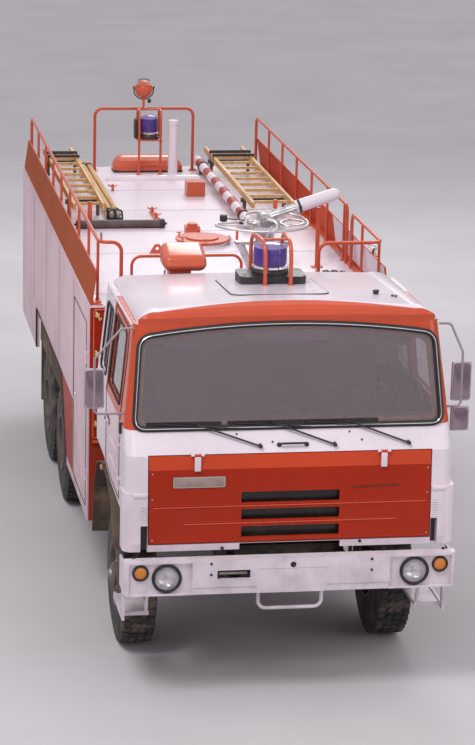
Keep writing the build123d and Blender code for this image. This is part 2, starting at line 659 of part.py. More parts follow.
def front_flap():
    """Flap over the cab's front with three slots and three ribs, hinged at its top edge."""
    flap = side_prism([(110, FLAP_LOW), (145, 1780), (150, FLAP_TOP), (175, FLAP_TOP), (135, FLAP_LOW)],
                      -FLAP_HALF, FLAP_HALF)
    for low in (1245, 1375, 1505):
        slot = block(-370, 370, 50, 250, low, low + 85)
        flap -= fillet(slot.edges().filter_by(Axis.Y), 12)
    # rib height, half length
    for z, half in ((1497, 1030), (1367, 800), (1222, 1050)):
        y = 110 + (z - FLAP_LOW) * 35 / 570
        flap += rod((-half, y + 2, z), (half, y + 2, z), 7)
    for x in (-FLAP_HINGE_X, FLAP_HINGE_X):
        flap += flap_hinge_moving(x)
    save("front_flap", flap)


def dashboard():
    """Dashboard under the windscreen, with the steering wheel on its column."""
    dash = side_prism([(310, 1900), (640, 1900), (640, 2010), (560, 2060), (330, 2030)], -1150, 1150)
    dash += block(-200, 200, 300, 640, 1520, 1900)
    wheel = Pos(620, 800, 2150) * Rot(-35, 0, 0) * (Torus(235, 14) + Cylinder(45, 30) + Box(460, 30, 12))
    column = rod((620, 800, 2150), (620, 620, 1900), 25)
    save("dashboard", dash + column + wheel)


def seats():
    """Two front seats on their boxes and a rear bench."""
    pieces = []
    for x in (-640, 640):
        pieces.append(block(x - 160, x + 160, 950, 1300, FLOOR_Z + FLOOR_T, 1700 - FIT))
        pieces.append(fillet(block(x - 250, x + 250, 880, 1360, 1700, 1840).edges(), 40))
        pieces.append(fillet(block(x - 240, x + 240, 1360 + FIT, 1450, 1710, 2380).edges(), 35))
    pieces.append(block(-1000, 1000, 1600, 1900, 1640, 1720 - FIT))
    pieces.append(fillet(block(-1050, 1050, 1560, 1880, 1720, 1840).edges(), 40))
    pieces.append(fillet(block(-1050, 1050, 1880 + FIT, CAB_REAR - CAB_WALL - FIT, 1740, 2300).edges(), 30))
    save("seats", group(*pieces))


def mirrors():
    """Mirror heads on bent tube arms that end on the cab's side."""
    y, low, top = MIRROR_Y, 2140, 2770
    lean = front_prism([(cab_side(0), 1000), (cab_side(0), SCREEN_LOW), (cab_side(2900), 2900), (0, 2900),
                        (0, 1000)], 300, 600)
    pieces = []
    for side, out in ((-1, MIRROR_RIGHT), (1, MIRROR_LEFT)):
        path = [(1100, 440, top), (CAB_HALF + 10, 440, top), (out, y, 2560), (out, y, low), (1100, y, low)]
        arm = bent_tube(path, 9, 40)
        arm -= Pos(FIT, 0, 0) * lean
        arm += fillet(block(out - 75, out + 75, y, y + 42, 2180, 2480).edges(), 15)
        if side > 0:
            arm += fillet(block(out - 70, out + 70, y, y + 36, 1945, 2134).edges(), 12)
        pieces.append(arm if side > 0 else mirror(arm, Plane.YZ))
    save("mirrors", group(*pieces))


def wipers():
    """Three wipers: arms from the cowl and blades along the foot of the screen."""
    pieces = []
    cab = Pos(0, -FIT, 0) * cab_outside()
    blade_z, hub_z = 2085, 1930
    blade_y = cab_front(blade_z) + 2
    for pivot, tip in ((-230, -1070), (330, -460), (890, 110)):
        middle = (pivot + tip) / 2 - 60
        hub = rod((pivot, 150, hub_z), (pivot, 230, hub_z), 14) - cab
        arm = rod((pivot, 162, hub_z), (middle, blade_y - 18, blade_z), 7)
        arm += rod((middle, blade_y - 22, blade_z), (middle, blade_y, blade_z), 8)
        blade = block(tip, tip + 560, blade_y - 6, blade_y + 6, blade_z - 12, blade_z + 12)
        pieces.append(hub + arm + blade)
    save("wipers", group(*pieces))


def roof_beacon():
    """Beacon on its dark base, with two guard hoops over it."""
    x, y, top = BEACON_X, BEACON_Y, BEACON_BASE_TOP
    up = (Align.CENTER, Align.CENTER, Align.MIN)
    roof = Pos(0, 0, FIT) * roof_outside()
    base = fillet(block(x - 255, x + 265, y - 160, y + 160, 2850, top).edges().filter_by(Axis.Z), 60)
    save("beacon_base", base - roof)
    dome = Pos(x, y, top) * Cylinder(BEACON_R, 240, align=up)
    save("roof_beacon", fillet(dome.edges().group_by(Axis.Z)[-1], 50))
    guard = rod((x - 75, y - 80, 3240), (x + 125, y - 80, 3240), 12)
    for hx in (x - 75, x + 125):
        path = [(hx, y - 215, 2850), (hx, y - 215, 3240), (hx, y + 215, 3240), (hx, y + 215, 2840)]
        guard += bent_tube(path, 12, 110) - roof
    save("beacon_guard", guard)


# Superstructure

def locker_hinge(z):
    """Place of a left locker hinge at height z: pin up, door towards the rear, outside to the left."""
    return Location(Plane((HALF_WIDTH + HINGE_OUT, LOCKER[0] + RUN / 2, z), x_dir=(0, 1, 0), z_dir=(0, 0, -1)))


def pump_hinge(x):
    """Place of a pump bay hinge at x: pin across, door downwards, outside to the rear."""
    return Location(Plane((x, BODY_REAR + HINGE_OUT, PUMP_DOOR[2] - RUN / 2), x_dir=(0, 0, -1), z_dir=(1, 0, 0)))


def body_shell():
    """Walls of the superstructure: side lockers in front, the tank's skin, the pump bay behind."""
    t = BODY_WALL
    top = DECK_Z - DECK_T
    outer, inner = HALF_WIDTH, HALF_WIDTH - t
    side = side_prism([(BODY_FRONT, SKIRT_LOW), (BAY_BACK, SKIRT_LOW), (ARCH_FRONT - 10, BODY_LOW),
                       (ARCH_REAR + 80, BODY_LOW), (ARCH_REAR + 80, 950), (BODY_REAR, 950), (BODY_REAR, top),
                       (BODY_FRONT, top)], inner, outer)
    side -= block(inner - 1, outer + 1, LOCKER[0], LOCKER[1], LOCKER[2], LOCKER[3])
    side += block(700, inner, BODY_FRONT, BAY_BACK, SKIRT_LOW, SKIRT_LOW + t)
    side += block(700, 700 + t, BODY_FRONT, BAY_BACK, SKIRT_LOW, BODY_LOW)
    for y in (BODY_FRONT, BAY_BACK - t):
        side += block(700, inner, y, y + t, SKIRT_LOW, BODY_LOW)
    shell = side + mirror(side, Plane.YZ)
    for y in (BODY_FRONT, BAY_BACK - t, PUMP_BAY, BODY_REAR - t):
        shell += block(-inner, inner, y, y + t, BODY_LOW - t, top)
    shell += block(-730, 730, BODY_FRONT, BAY_BACK, BODY_LOW - t, BODY_LOW)
    shell += block(-inner, inner, PUMP_BAY, BODY_REAR, BODY_LOW, BODY_LOW + t)
    shell += block(-inner, inner, BODY_REAR - t, BODY_REAR, 950, BODY_LOW)
    shell -= block(-PUMP_DOOR[0], PUMP_DOOR[0], BODY_REAR - t - 1, BODY_REAR + 1, PUMP_DOOR[1], PUMP_DOOR[2])
    for x in (-RAIL_X, RAIL_X - RAIL_W):
        shell += block(x, x + RAIL_W, BODY_FRONT + 120, RAIL_REAR - 100, RAIL_TOP, BODY_LOW)
    shell += rod((SPARE_X, 2120, SPARE_Z), (SPARE_X, BODY_FRONT + 1, SPARE_Z), 110)
    shell += rod((SPARE_X, 2150, SPARE_Z), (SPARE_X, 2300, SPARE_Z), BEAD_R)
    for side in (1, -1):
        for z in (1000, 2000):
            fixed, _ = hinge(locker_hinge(z))
            shell += fixed if side > 0 else mirror(fixed, Plane.YZ)
    for x in (-600, 600):
        fixed, _ = hinge(pump_hinge(x))
        shell += fixed
    save("body_shell", shell)


def spare_tyre():
    """Spare tyre standing behind the cab on its carrier."""
    save("spare_tyre", Pos(SPARE_X, 2225, SPARE_Z) * Rot(0, 0, 90) * tyre(0))


def water_tank():
    """Rounded tank between the two bulkheads."""
    tank = block(-1150, 1150, BAY_BACK + 5, PUMP_BAY - 5, BODY_LOW, DECK_Z - DECK_T - 20)
    save("water_tank", fillet(tank.edges().filter_by(Axis.Y), 160))


def roof_hinge(x):
    """Place of a hinge of the rear roof hatch at x: pin across, lid in front and above."""
    place = (x, ROOF_BOX_REAR + HINGE_OUT, DECK_Z + HINGE_OUT)
    return Location(Plane(place, x_dir=(0, -1, 0), z_dir=(-1, 0, 0)))


def deck():
    """Roof deck with the manhole's collar, its hinge ears and the vent pipe."""
    plate = block(-HALF_WIDTH, HALF_WIDTH, BODY_FRONT, BODY_REAR, DECK_Z - DECK_T, DECK_Z)
    collar = Pos(HATCH_X, HATCH_Y, DECK_Z + 13) * (Cylinder(HATCH_R - 12, 28))
    plate = plate + collar - Pos(HATCH_X, HATCH_Y, DECK_Z) * Cylinder(HATCH_R - 40, 100)
    for y in (HATCH_Y - 75, HATCH_Y + 65):
        plate += block(HATCH_HINGE_X - 10, HATCH_HINGE_X + 12, y, y + 10, DECK_Z - 1, HATCH_HINGE_Z + 12)
    pin = [(HATCH_HINGE_X, HATCH_Y + dy, HATCH_HINGE_Z) for dy in (-74, 74)]
    plate += rod(*pin, 6)
    for x in (-250, 250):
        fixed, _ = hinge(roof_hinge(x))
        plate += fixed
    vent_y = PUMP_BAY + 350
    vent = Pos(210, vent_y, 2750) * Cylinder(48, 590) + Pos(210, vent_y, DECK_Z + 7) * Cylinder(85, 16)
    save("deck", plate + vent)


def manhole_lid():
    """Round lid over the manhole, hinged on the deck's ears."""
    lid = Pos(HATCH_X, HATCH_Y, 2500) * Cylinder(HATCH_R, 16) + Pos(HATCH_X, HATCH_Y, 2514) * Cylinder(150, 14)
    x, z = HATCH_HINGE_X, HATCH_HINGE_Z
    lid += rod((x, HATCH_Y - 60, z), (x, HATCH_Y + 60, z), 14)
    lid += block(200, x - 8, HATCH_Y - 60, HATCH_Y + 60, z - 7, z + 7)
    lid -= rod((x, HATCH_Y - 80, z), (x, HATCH_Y + 80, z), 6 + FIT)
    save("manhole_lid", lid)


def rear_hatch():
    """Low hatch at the deck's rear end, hinged at its rear edge."""
    low = DECK_Z + RUN
    rear = ROOF_BOX_REAR
    lid = side_prism([(rear - 250, low), (rear, low), (rear, 2560), (rear - 60, 2610), (rear - 170, 2610),
                      (rear - 250, 2520)], -350, 360)
    lid = fillet(lid.edges().filter_by(Axis.X).group_by(Axis.Z)[-1], 25)
    for x in (-250, 250):
        lid += hinge(roof_hinge(x), leaf=(-2, 7), reach=20)[1]
    save("rear_hatch", lid)


def body_doors():
    """Locker doors in the sides and the pump bay's door."""
    door = block(HALF_WIDTH - BODY_WALL, HALF_WIDTH, LOCKER[0] + RUN, LOCKER[1] - RUN, LOCKER[2] + RUN,
                 LOCKER[3] - RUN)
    for z in (1000, 2000):
        door += hinge(locker_hinge(z))[1]
    save("locker_door_left", door)
    save("locker_door_right", mirror(door, Plane.YZ))
    half, low, top = PUMP_DOOR
    door = block(-half + RUN, half - RUN, BODY_REAR - BODY_WALL, BODY_REAR, low + RUN, top - RUN)
    for x in (-600, 600):
        door += hinge(pump_hinge(x))[1]
    save("pump_door", door)


def side_boards():
    """Boards along both edges of the deck, leaning inwards."""
    foot, head = HALF_WIDTH - 13, HALF_WIDTH - 53
    lean = front_prism([(foot, DECK_Z), (head, BOARD_TOP), (head - 15, BOARD_TOP), (foot - 15, DECK_Z)],
                       BODY_FRONT, BODY_REAR)
    save("side_boards", both(lean))


def deck_rails():
    """Tube rails on both sides, the front handrails and the rear hoop."""
    x, z, base = RAIL_TUBE_X, RAIL_TUBE_Z, DECK_Z
    front, rear = BODY_FRONT + 40, BODY_REAR - 30
    gap = MONITOR_Y + 30
    posts = [front + (rear - front) * i / 8 for i in range(1, 8)]
    path = [(-x, rear, base), (-x, rear, z), (-x, front, z), (-985, front, z), (-985, front, base)]
    right = bent_tube(path, RAIL_TUBE_R, RAIL_BEND)
    path = [(x, rear, base), (x, rear, z), (x, gap + 100, z), (x, gap + 100, base)]
    left = bent_tube(path, RAIL_TUBE_R, RAIL_BEND)
    path = [(x, gap - 100, base), (x, gap - 100, z - 30), (x, front, z - 30), (640, front, z - 30),
            (640, front, base)]
    corner = bent_tube(path, RAIL_TUBE_R, RAIL_BEND)
    for y in posts:
        right += rod((-x, y, base), (-x, y, z), 12)
        if y < gap - 100:
            corner += rod((x, y, base), (x, y, z - 30), 12)
        elif y > gap + 150:
            left += rod((x, y, base), (x, y, z), 12)
    corner += rod((x, front + 90, base), (x, front + 90, z - 30), 12)
    right += rod((-x, front + 90, base), (-x, front + 90, z), 12)
    low = bent_tube([(-900, front, base), (-900, front, 2850), (0, front, 2850), (0, front, base)], 12, 80)
    y = ROOF_BOX_REAR - 150
    path = [(-540, y, base), (-540, y, 3100), (470, y, 3100), (470, y, base)]
    hoop = bent_tube(path, RAIL_TUBE_R, RAIL_BEND)
    rest = rod((880, MONITOR_Y, base), (880, MONITOR_Y, 2984), 18)
    rest += block(830, 930, MONITOR_Y - 30, MONITOR_Y + 30, base, base + 10)
    save("deck_rails", group(right, left, corner, low, hoop, rest))


def rear_lamps():
    """Rear beacon on a plate between two guard hoops, and the ball search lamp above it."""
    y, top, shelf = ROOF_BOX_REAR - 360, 3110, 2800
    guard = block(-130, 130, y - 20, y + 185, shelf, shelf + 15)
    for x in (-110, 110):
        path = [(x, y, DECK_Z), (x, y, top), (x, y + 170, top), (x, y + 170, shelf + 10)]
        guard += bent_tube(path, 12, 70)
    guard += rod((-110, y + 85, top), (110, y + 85, top), 9)
    guard += rod((-60, y + 85, top), (-60, y + 85, 3270), 14)
    guard += Pos(-60, y + 85, 3320) * Sphere(75)
    save("search_lamp", guard)
    dome = Pos(0, y + 90, shelf + 15 + FIT) * Cylinder(82, 240, align=(Align.CENTER, Align.CENTER, Align.MIN))
    save("rear_beacon", fillet(dome.edges().group_by(Axis.Z)[-1], 30))


def ladders():
    """Two ladders and two poles lying along the deck."""
    front, rear = LADDER_REAR - LADDER_LONG, LADDER_REAR
    stile, high = 30, 60
    pieces = []
    for x0, x1 in LADDERS:
        for x in (x0, x1 - stile):
            pieces.append(block(x, x + stile, front, rear, LADDER_Z, LADDER_Z + high))
        a, b = x0 + stile + FIT, x1 - stile - FIT
        for i in range(10):
            y = front + 150 + 290 * i
            pieces.append(block(a, b, y - 13, y + 13, LADDER_Z + 17, LADDER_Z + 43))
    for x in (-670, -610):
        pieces.append(rod((x, front + 150, 2530), (x, rear - 140, 2530), 25))
    save("ladders", group(*pieces))


def striped_pole():
    """Thick pole beside the left ladder."""
    save("striped_pole", rod((545, LADDER_REAR - 3240, 2540), (545, LADDER_REAR - 60, 2540), 48))


def suction_pipe():
    """Suction pipe across the deck, and the stands that carry the ladders and poles."""
    rear = LADDER_REAR
    pipe_y = rear - LADDER_LONG - PIPE_AHEAD
    pieces = [rod((-1010, pipe_y, DECK_Z + 38 + FIT), (-230, pipe_y, DECK_Z + 38 + FIT), 38)]
    for x0, x1 in LADDERS:
        for y in (rear - 2440, rear - 410):
            frame = block(x0 - 20, x1 + 20, y - 20, y + 20, LADDER_Z - 41, LADDER_Z - FIT)
            for x in (x0 + 15, x1 - 15):
                frame += block(x - 15, x + 15, y - 15, y + 15, DECK_Z, LADDER_Z - 30)
            pieces.append(frame)
    for y in (rear - 2640, rear - 290):
        pieces.append(block(-700, -580, y - 15, y + 15, DECK_Z, 2530 - 25 - FIT))
    for y in (rear - 2940, rear - 440):
        pieces.append(block(505, 585, y - 15, y + 15, DECK_Z, 2540 - 48 - FIT))
    save("suction_pipe", group(*pieces))


def deck_fittings():
    """Lifting eye, the box with a knob, the cube and the stay and key by the manhole lid."""
    y, top = HATCH_Y - 400, DECK_Z + 83
    eye = front_prism([(-500, DECK_Z), (-360, DECK_Z), (-410, top), (-450, top)], y, y + 12)
    eye -= Pos(-430, y + 6, DECK_Z + 43) * Rot(90, 0, 0) * Cylinder(15, 40)
    y = HATCH_Y + 430
    box = block(-60, 70, y - 60, y + 60, DECK_Z, DECK_Z + 73) + Pos(5, y, DECK_Z + 83) * Cylinder(45, 24)
    cube = block(210, 390, PUMP_BAY - 650, PUMP_BAY - 490, DECK_Z, DECK_Z + 143)
    post = block(330, 350, HATCH_Y - 65, HATCH_Y - 35, DECK_Z, DECK_Z + 143)
    y = LADDER_REAR - LADDER_LONG - PIPE_AHEAD + 60
    wrench = block(-260, -220, y, y + 640, DECK_Z, DECK_Z + 23)
    save("deck_fittings", group(eye, box, cube, post, wrench))


def intake_snorkel():
    """Engine air intake behind the cab: box, neck and a rounded hood that dips forwards."""
    duct = block(-640, -470, 2130, 2330, 1200, 2850)
    hood = side_prism([(2060, 2820), (2060, 2870), (2130, 2960), (2280, 3005), (2370, 2985), (2370, 2850)],
                      -700, -350)
    hood = fillet(hood.edges().group_by(Axis.Z)[-1], 22)
    corners = plan_prism([(-700, 2060), (-350, 2060), (-350, 2370), (-700, 2370)], 2700, 3100)
    hood &= fillet(corners.edges().filter_by(Axis.Z), 115)
    stay = block(-600, -510, 2329, BODY_FRONT, 1500, 1560) + block(-600, -510, 2329, BODY_FRONT, 2200, 2260)
    save("intake_snorkel", duct + hood + stay)


# Monitor

def monitor():
    """Water monitor: base on the deck, turning head with its hand ring, barrel that rises."""
    x, y = MONITOR_X, MONITOR_Y
    up = (Align.CENTER, Align.CENTER, Align.MIN)
    low = DECK_Z + 260 + RUN
    base = Pos(x, y, DECK_Z) * Cylinder(130, 18, align=up)
    base += Pos(x, y, DECK_Z + 17) * Cone(100, 65, 243, align=up)
    base += Pos(x, y, DECK_Z + 250) * Cylinder(30, 80, align=up)
    base += block(x - 245, x + 245, y - 45, y + 45, low - RUN - 45, low - RUN - 20)
    for side in (-1, 1):
        base += rod((x + side * 110, y, DECK_Z + 14), (x + side * 205, y, low - RUN - 30), 32)
    save("monitor_base", base)
    head = Pos(x, y, low) * Cylinder(80, 2835 - low, align=up)
    head += Pos(x, y, 2835) * Torus(RING_R, 10)
    for a in (90, 180, 270):
        end = (x + RING_R * cos(radians(a)), y + RING_R * sin(radians(a)), 2835)
        head += rod((x, y, 2825), end, 8)
    for side in (-1, 1):
        head += block(x - 45, x + 45, y + side * 65 - 10, y + side * 65 + 10, 2820, MONITOR_PIVOT_Z + 45)
    for side in (-1, 1):
        head += rod((x - 60, y + side * 150, 2822), (x + 150, y + side * 150, 2822), 34)
        head += rod((x, y, 2822), (x, y + side * 160, 2822), 24)
    head += rod((x, y - 74, MONITOR_PIVOT_Z), (x, y + 74, MONITOR_PIVOT_Z), 12)
    head -= Pos(x, y, low - 1) * Cylinder(30 + FIT, 76, align=up)
    save("monitor_head", head)
    rise = radians(BARREL_RISE)
    ends = [(x + s * cos(rise), y, MONITOR_PIVOT_Z + s * sin(rise)) for s in (20, 300, 700)]
    barrel = Pos(x, y, MONITOR_PIVOT_Z) * Rot(90, 0, 0) * Cylinder(44, 100)
    barrel += rod(ends[0], ends[1], 36) + rod(ends[1], ends[2], 56)
    barrel -= rod((x, y - 80, MONITOR_PIVOT_Z), (x, y + 80, MONITOR_PIVOT_Z), 12 + FIT)
    save("monitor_barrel", barrel)


def main():
    os.makedirs("parts", exist_ok=True)
    for make in (wheels, chassis_tube, suspension, knuckles, frame_rails, engine_block, chassis_tanks,
                 front_bumper, headlamps, marker_lamps, mudguards, cab_shell, cab_floor, cab_roof, cab_glass,
                 doors, front_flap, dashboard, seats, mirrors, wipers, roof_beacon, body_shell, spare_tyre,
                 water_tank, deck, manhole_lid, rear_hatch, body_doors, side_boards, deck_rails, rear_lamps,
                 ladders, striped_pole, suction_pipe, deck_fittings, intake_snorkel, monitor):
        make()


main()
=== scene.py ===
# %% [markdown]
# Water tanker fire truck.
# The CAD model brings every large form: cab, superstructure, wheels, rails, monitor.
# This file dresses it: paint with age on it, rubber, glass, timber, and the small pieces
# that a maker would add by hand, such as gaskets, lamps, bolts, seams and seat covers.
# Each step has a note on what the piece is and why it is made the way it is.

# %% Load the frame
import bpy
from math import cos, pi, radians, sin
from mathutils import Matrix, Vector


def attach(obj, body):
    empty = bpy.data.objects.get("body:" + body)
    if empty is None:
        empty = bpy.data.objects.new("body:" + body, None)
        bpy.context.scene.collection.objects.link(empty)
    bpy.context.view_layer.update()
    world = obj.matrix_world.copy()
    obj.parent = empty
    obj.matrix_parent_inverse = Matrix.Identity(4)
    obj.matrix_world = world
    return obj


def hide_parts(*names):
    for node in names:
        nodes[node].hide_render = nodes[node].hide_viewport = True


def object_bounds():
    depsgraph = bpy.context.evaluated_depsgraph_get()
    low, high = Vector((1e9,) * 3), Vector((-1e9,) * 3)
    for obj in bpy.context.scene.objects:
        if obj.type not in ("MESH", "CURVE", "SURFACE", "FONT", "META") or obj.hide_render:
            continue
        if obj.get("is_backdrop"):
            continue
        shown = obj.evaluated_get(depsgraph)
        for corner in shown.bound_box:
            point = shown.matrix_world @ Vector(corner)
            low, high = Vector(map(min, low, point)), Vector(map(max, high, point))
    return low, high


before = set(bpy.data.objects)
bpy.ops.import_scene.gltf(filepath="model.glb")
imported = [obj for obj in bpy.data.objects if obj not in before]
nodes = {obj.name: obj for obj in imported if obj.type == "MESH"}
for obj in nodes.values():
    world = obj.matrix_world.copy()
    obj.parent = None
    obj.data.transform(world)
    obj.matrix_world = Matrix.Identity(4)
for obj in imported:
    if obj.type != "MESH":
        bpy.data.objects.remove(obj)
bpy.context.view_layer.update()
FRONT = -4.3          # frame Y of station 0, the lamps' front edge
MIDDLE = 0.055        # frame X of the truck's middle plane, off centre by the longer mirror arm

# %% [markdown]
# Small helpers for modelling by hand.
# An operator acts on whatever is selected, so each helper first deselects everything.
# A finished piece sits at the origin with its place in its mesh, which keeps the
# patterns of its paint in the truck's own coordinates. Places are given as they would be
# measured on the truck: across from its middle plane, along from its front edge (the
# station) and up from the ground. A spot turns the station into the frame's Y, and
# dressing a piece moves it over from the middle plane.

# %% Selecting and finishing
def spot(place):
    """Place in the frame of (across, station, height)."""
    x, y, z = place
    return x, FRONT + y, z


def only(*pieces):
    """Select these pieces alone; the first is active."""
    bpy.ops.object.select_all(action="DESELECT")
    for piece in pieces:
        piece.select_set(True)
    bpy.context.view_layer.objects.active = pieces[0]


def settle(piece):
    """Put the piece's place, turn and size into its mesh."""
    only(piece)
    bpy.ops.object.transform_apply(location=True, rotation=True, scale=True)
    return piece


def outwards(piece):
    """Merge doubles and turn every face outwards."""
    only(piece)
    bpy.ops.object.mode_set(mode="EDIT")
    bpy.ops.mesh.select_all(action="SELECT")
    bpy.ops.mesh.remove_doubles(threshold=0.00002)
    bpy.ops.mesh.normals_make_consistent(inside=False)
    bpy.ops.object.mode_set(mode="OBJECT")
    return piece


def pick(piece, test):
    """Edit mode with just the vertices selected whose place passes the test."""
    only(piece)
    bpy.ops.object.mode_set(mode="EDIT")
    bpy.ops.mesh.select_mode(type="VERT")
    bpy.ops.mesh.select_all(action="DESELECT")
    bpy.ops.object.mode_set(mode="OBJECT")
    for v in piece.data.vertices:
        v.select = test(v.co)
    bpy.ops.object.mode_set(mode="EDIT")


def smooth(piece, angle=35):
    """Smooth shading that keeps edges sharper than the angle."""
    only(piece)
    bpy.ops.object.shade_smooth_by_angle(angle=radians(angle))
    return piece


def join(name, pieces):
    """Several meshes as one piece."""
    only(*pieces)
    if len(pieces) > 1:
        bpy.ops.object.join()
    piece = bpy.context.object
    piece.name = piece.data.name = name
    return piece


def dress(piece, material, body):
    """The finished piece moved to the frame, with its material and body."""
    piece.data.transform(Matrix.Translation((MIDDLE, 0, 0)))
    piece.data.materials.clear()
    piece.data.materials.append(material)
    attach(piece, body)
    return piece


# %% [markdown]
# Four kinds of starting shape cover most pieces: a block with rounded edges, a turned
# piece built ring by ring, a bar that follows a path, and a plate cut to an outline.

# %% Block with rounded edges
def block(name, corner, opposite, edge=0.002, steps=2):
    """Block between two opposite corners, in any order, its edges rounded by a bevel."""
    spans = [sorted(pair) for pair in zip(spot(corner), spot(opposite))]
    middle = [(low + high) / 2 for low, high in spans]
    size = [high - low for low, high in spans]
    bpy.ops.object.select_all(action="DESELECT")
    bpy.ops.mesh.primitive_cube_add(size=1, location=middle, scale=size)
    piece = settle(bpy.context.object)
    piece.name = name
    bpy.ops.object.mode_set(mode="EDIT")
    bpy.ops.mesh.select_all(action="SELECT")
    bpy.ops.mesh.bevel(offset=edge, segments=steps, affect="EDGES")
    bpy.ops.object.mode_set(mode="OBJECT")
    return smooth(piece)


# %% Turned piece
def turned(name, rings, place, direction, sides=32, closed=False):
    """Round piece from (along, radius) rings, each pushed out of the one before; with no
    place it stays at the origin, to be copied."""
    rings = [(along, max(radius, 0.0004)) for along, radius in rings]
    along, radius = rings[0]
    bpy.ops.object.select_all(action="DESELECT")
    bpy.ops.mesh.primitive_circle_add(vertices=sides, radius=radius, location=(0, 0, along),
                                      fill_type="NOTHING" if closed else "NGON")
    piece = settle(bpy.context.object)
    bpy.ops.object.mode_set(mode="EDIT")
    bpy.ops.mesh.select_all(action="SELECT")
    for (z0, r0), (z1, r1) in zip(rings, rings[1:]):
        bpy.ops.mesh.extrude_region_move(TRANSFORM_OT_translate={"value": (0, 0, z1 - z0)})
        bpy.ops.transform.resize(value=(r1 / r0, r1 / r0, 1), center_override=(0, 0, z1))
    bpy.ops.object.mode_set(mode="OBJECT")
    if closed:
        first = [v.index for v in piece.data.vertices][:sides]
        last = [v.index for v in piece.data.vertices][-sides:]
        bpy.ops.object.mode_set(mode="EDIT")
        bpy.ops.mesh.select_all(action="DESELECT")
        bpy.ops.object.mode_set(mode="OBJECT")
        for i in first + last:
            piece.data.vertices[i].select = True
        bpy.ops.object.mode_set(mode="EDIT")
        bpy.ops.mesh.select_mode(type="VERT")
        bpy.ops.mesh.bridge_edge_loops()
        bpy.ops.object.mode_set(mode="OBJECT")
    turn = Vector(direction).to_track_quat("Z", "Y").to_matrix().to_4x4()
    piece.matrix_world = Matrix.Translation(spot(place) if place else (0, 0, 0)) @ turn
    settle(piece)
    outwards(piece)
    piece.name = name
    return smooth(piece)


# %% Bar along a path
def rounded_path(points, radius, closed=False, steps=6):
    """The path's corners replaced by arcs of the radius."""
    count = len(points)
    path = []
    for i, point in enumerate(points):
        here = Vector(point)
        if not closed and i in (0, count - 1):
            path.append(here)
            continue
        before = (Vector(points[i - 1]) - here)
        after = (Vector(points[(i + 1) % count]) - here)
        reach = min(radius, before.length * 0.49, after.length * 0.49)
        a, b = here + before.normalized() * reach, here + after.normalized() * reach
        for k in range(steps + 1):
            t = k / steps
            path.append(a * (1 - t) ** 2 + here * 2 * t * (1 - t) + b * t ** 2)
    return path


def bar(name, points, thickness, corner=0.0, closed=False, sides=8):
    """Round bar whose centre line is the path."""
    path = [Vector(spot(point)) for point in points]
    if corner:
        path = rounded_path(path, corner, closed)
    curve = bpy.data.curves.new(name, "CURVE")
    curve.dimensions = "3D"
    line = curve.splines.new("POLY")
    line.points.add(len(path) - 1)
    for point, place in zip(line.points, path):
        point.co = (*place, 1)
    line.use_cyclic_u = closed
    curve.bevel_depth = thickness / 2
    curve.bevel_resolution = max(sides // 4 - 1, 0)
    curve.use_fill_caps = not closed
    piece = bpy.data.objects.new(name, curve)
    bpy.context.scene.collection.objects.link(piece)
    only(piece)
    bpy.ops.object.convert(target="MESH")
    piece = bpy.context.object
    outwards(piece)
    return smooth(piece, 50)


# %% Copies
def copied(piece, name, matrix):
    """A copy with its own mesh, moved by a matrix."""
    twin = piece.copy()
    twin.data = piece.data.copy()
    bpy.context.scene.collection.objects.link(twin)
    twin.name = name
    twin.data.transform(matrix)
    if matrix.determinant() < 0:
        twin.data.flip_normals()
    return twin


MIRROR = Matrix.Scale(-1, 4, (1, 0, 0))
SIDES = ((1, "left"), (-1, "right"))
print("helpers ready")

# %% [markdown]
# Finishes.
# What several finishes share is a node group with its own inputs: ageing of paint, a
# painted zone between two corners, timber, cast or galvanised metal, and woven cloth.
# They read Object coordinates, which for every piece here are the truck's own metres
# from its middle plane, so a pattern has its real size and dirt gathers near the ground.

# %% Making groups and materials
def new_group(name, inputs, outputs):
    """Node group with named sockets; inputs are (label, kind, value)."""
    tree = bpy.data.node_groups.new(name, "ShaderNodeTree")
    for label, kind, value in inputs:
        socket = tree.interface.new_socket(label, in_out="INPUT", socket_type="NodeSocket" + kind)
        socket.default_value = value
    for label, kind in outputs:
        tree.interface.new_socket(label, in_out="OUTPUT", socket_type="NodeSocket" + kind)
    return tree, tree.nodes.new("NodeGroupInput"), tree.nodes.new("NodeGroupOutput")


def wire(tree, kind, inputs=(), out=0, **settings):
    """Node of a kind, its settings made and its inputs set or linked; gives one output."""
    node = tree.nodes.new("ShaderNode" + kind)
    for key, value in settings.items():
        setattr(node, key, value)
    for key, value in dict(inputs).items():
        if isinstance(value, bpy.types.NodeSocket):
            tree.links.new(value, node.inputs[key])
        else:
            node.inputs[key].default_value = value
    return node.outputs[out]


def maths(tree, operation, a, b=0.0, clamp=False):
    """One sum on two values."""
    return wire(tree, "Math", {0: a, 1: b}, operation=operation, use_clamp=clamp)


def mixed(tree, factor, a, b, blend="MIX"):
    """Colour between a and b."""
    return wire(tree, "Mix", {0: factor, 6: a, 7: b}, out=2, data_type="RGBA", blend_type=blend)


def ranged(tree, value, low, high, to_low=0.0, to_high=1.0):
    """A value's range stretched to another one."""
    return wire(tree, "MapRange", {0: value, 1: low, 2: high, 3: to_low, 4: to_high})


def position(tree, scale=None):
    """Metres from the middle plane, stretched where a scale is given."""
    here = wire(tree, "VectorMath", {0: wire(tree, "TexCoord", out=3), 1: (-MIDDLE, 0, 0)}, operation="ADD")
    return wire(tree, "Mapping", {0: here, 3: scale}) if scale else here


def separate(tree, vector):
    """The three parts of a vector."""
    node = tree.nodes.new("ShaderNodeSeparateXYZ")
    tree.links.new(vector, node.inputs[0])
    return node.outputs


def noise(tree, scale, detail, place=None):
    """Cloudy values between 0 and 1, scale being their number in a metre."""
    return wire(tree, "TexNoise", {"Vector": place or position(tree), "Scale": scale, "Detail": detail})


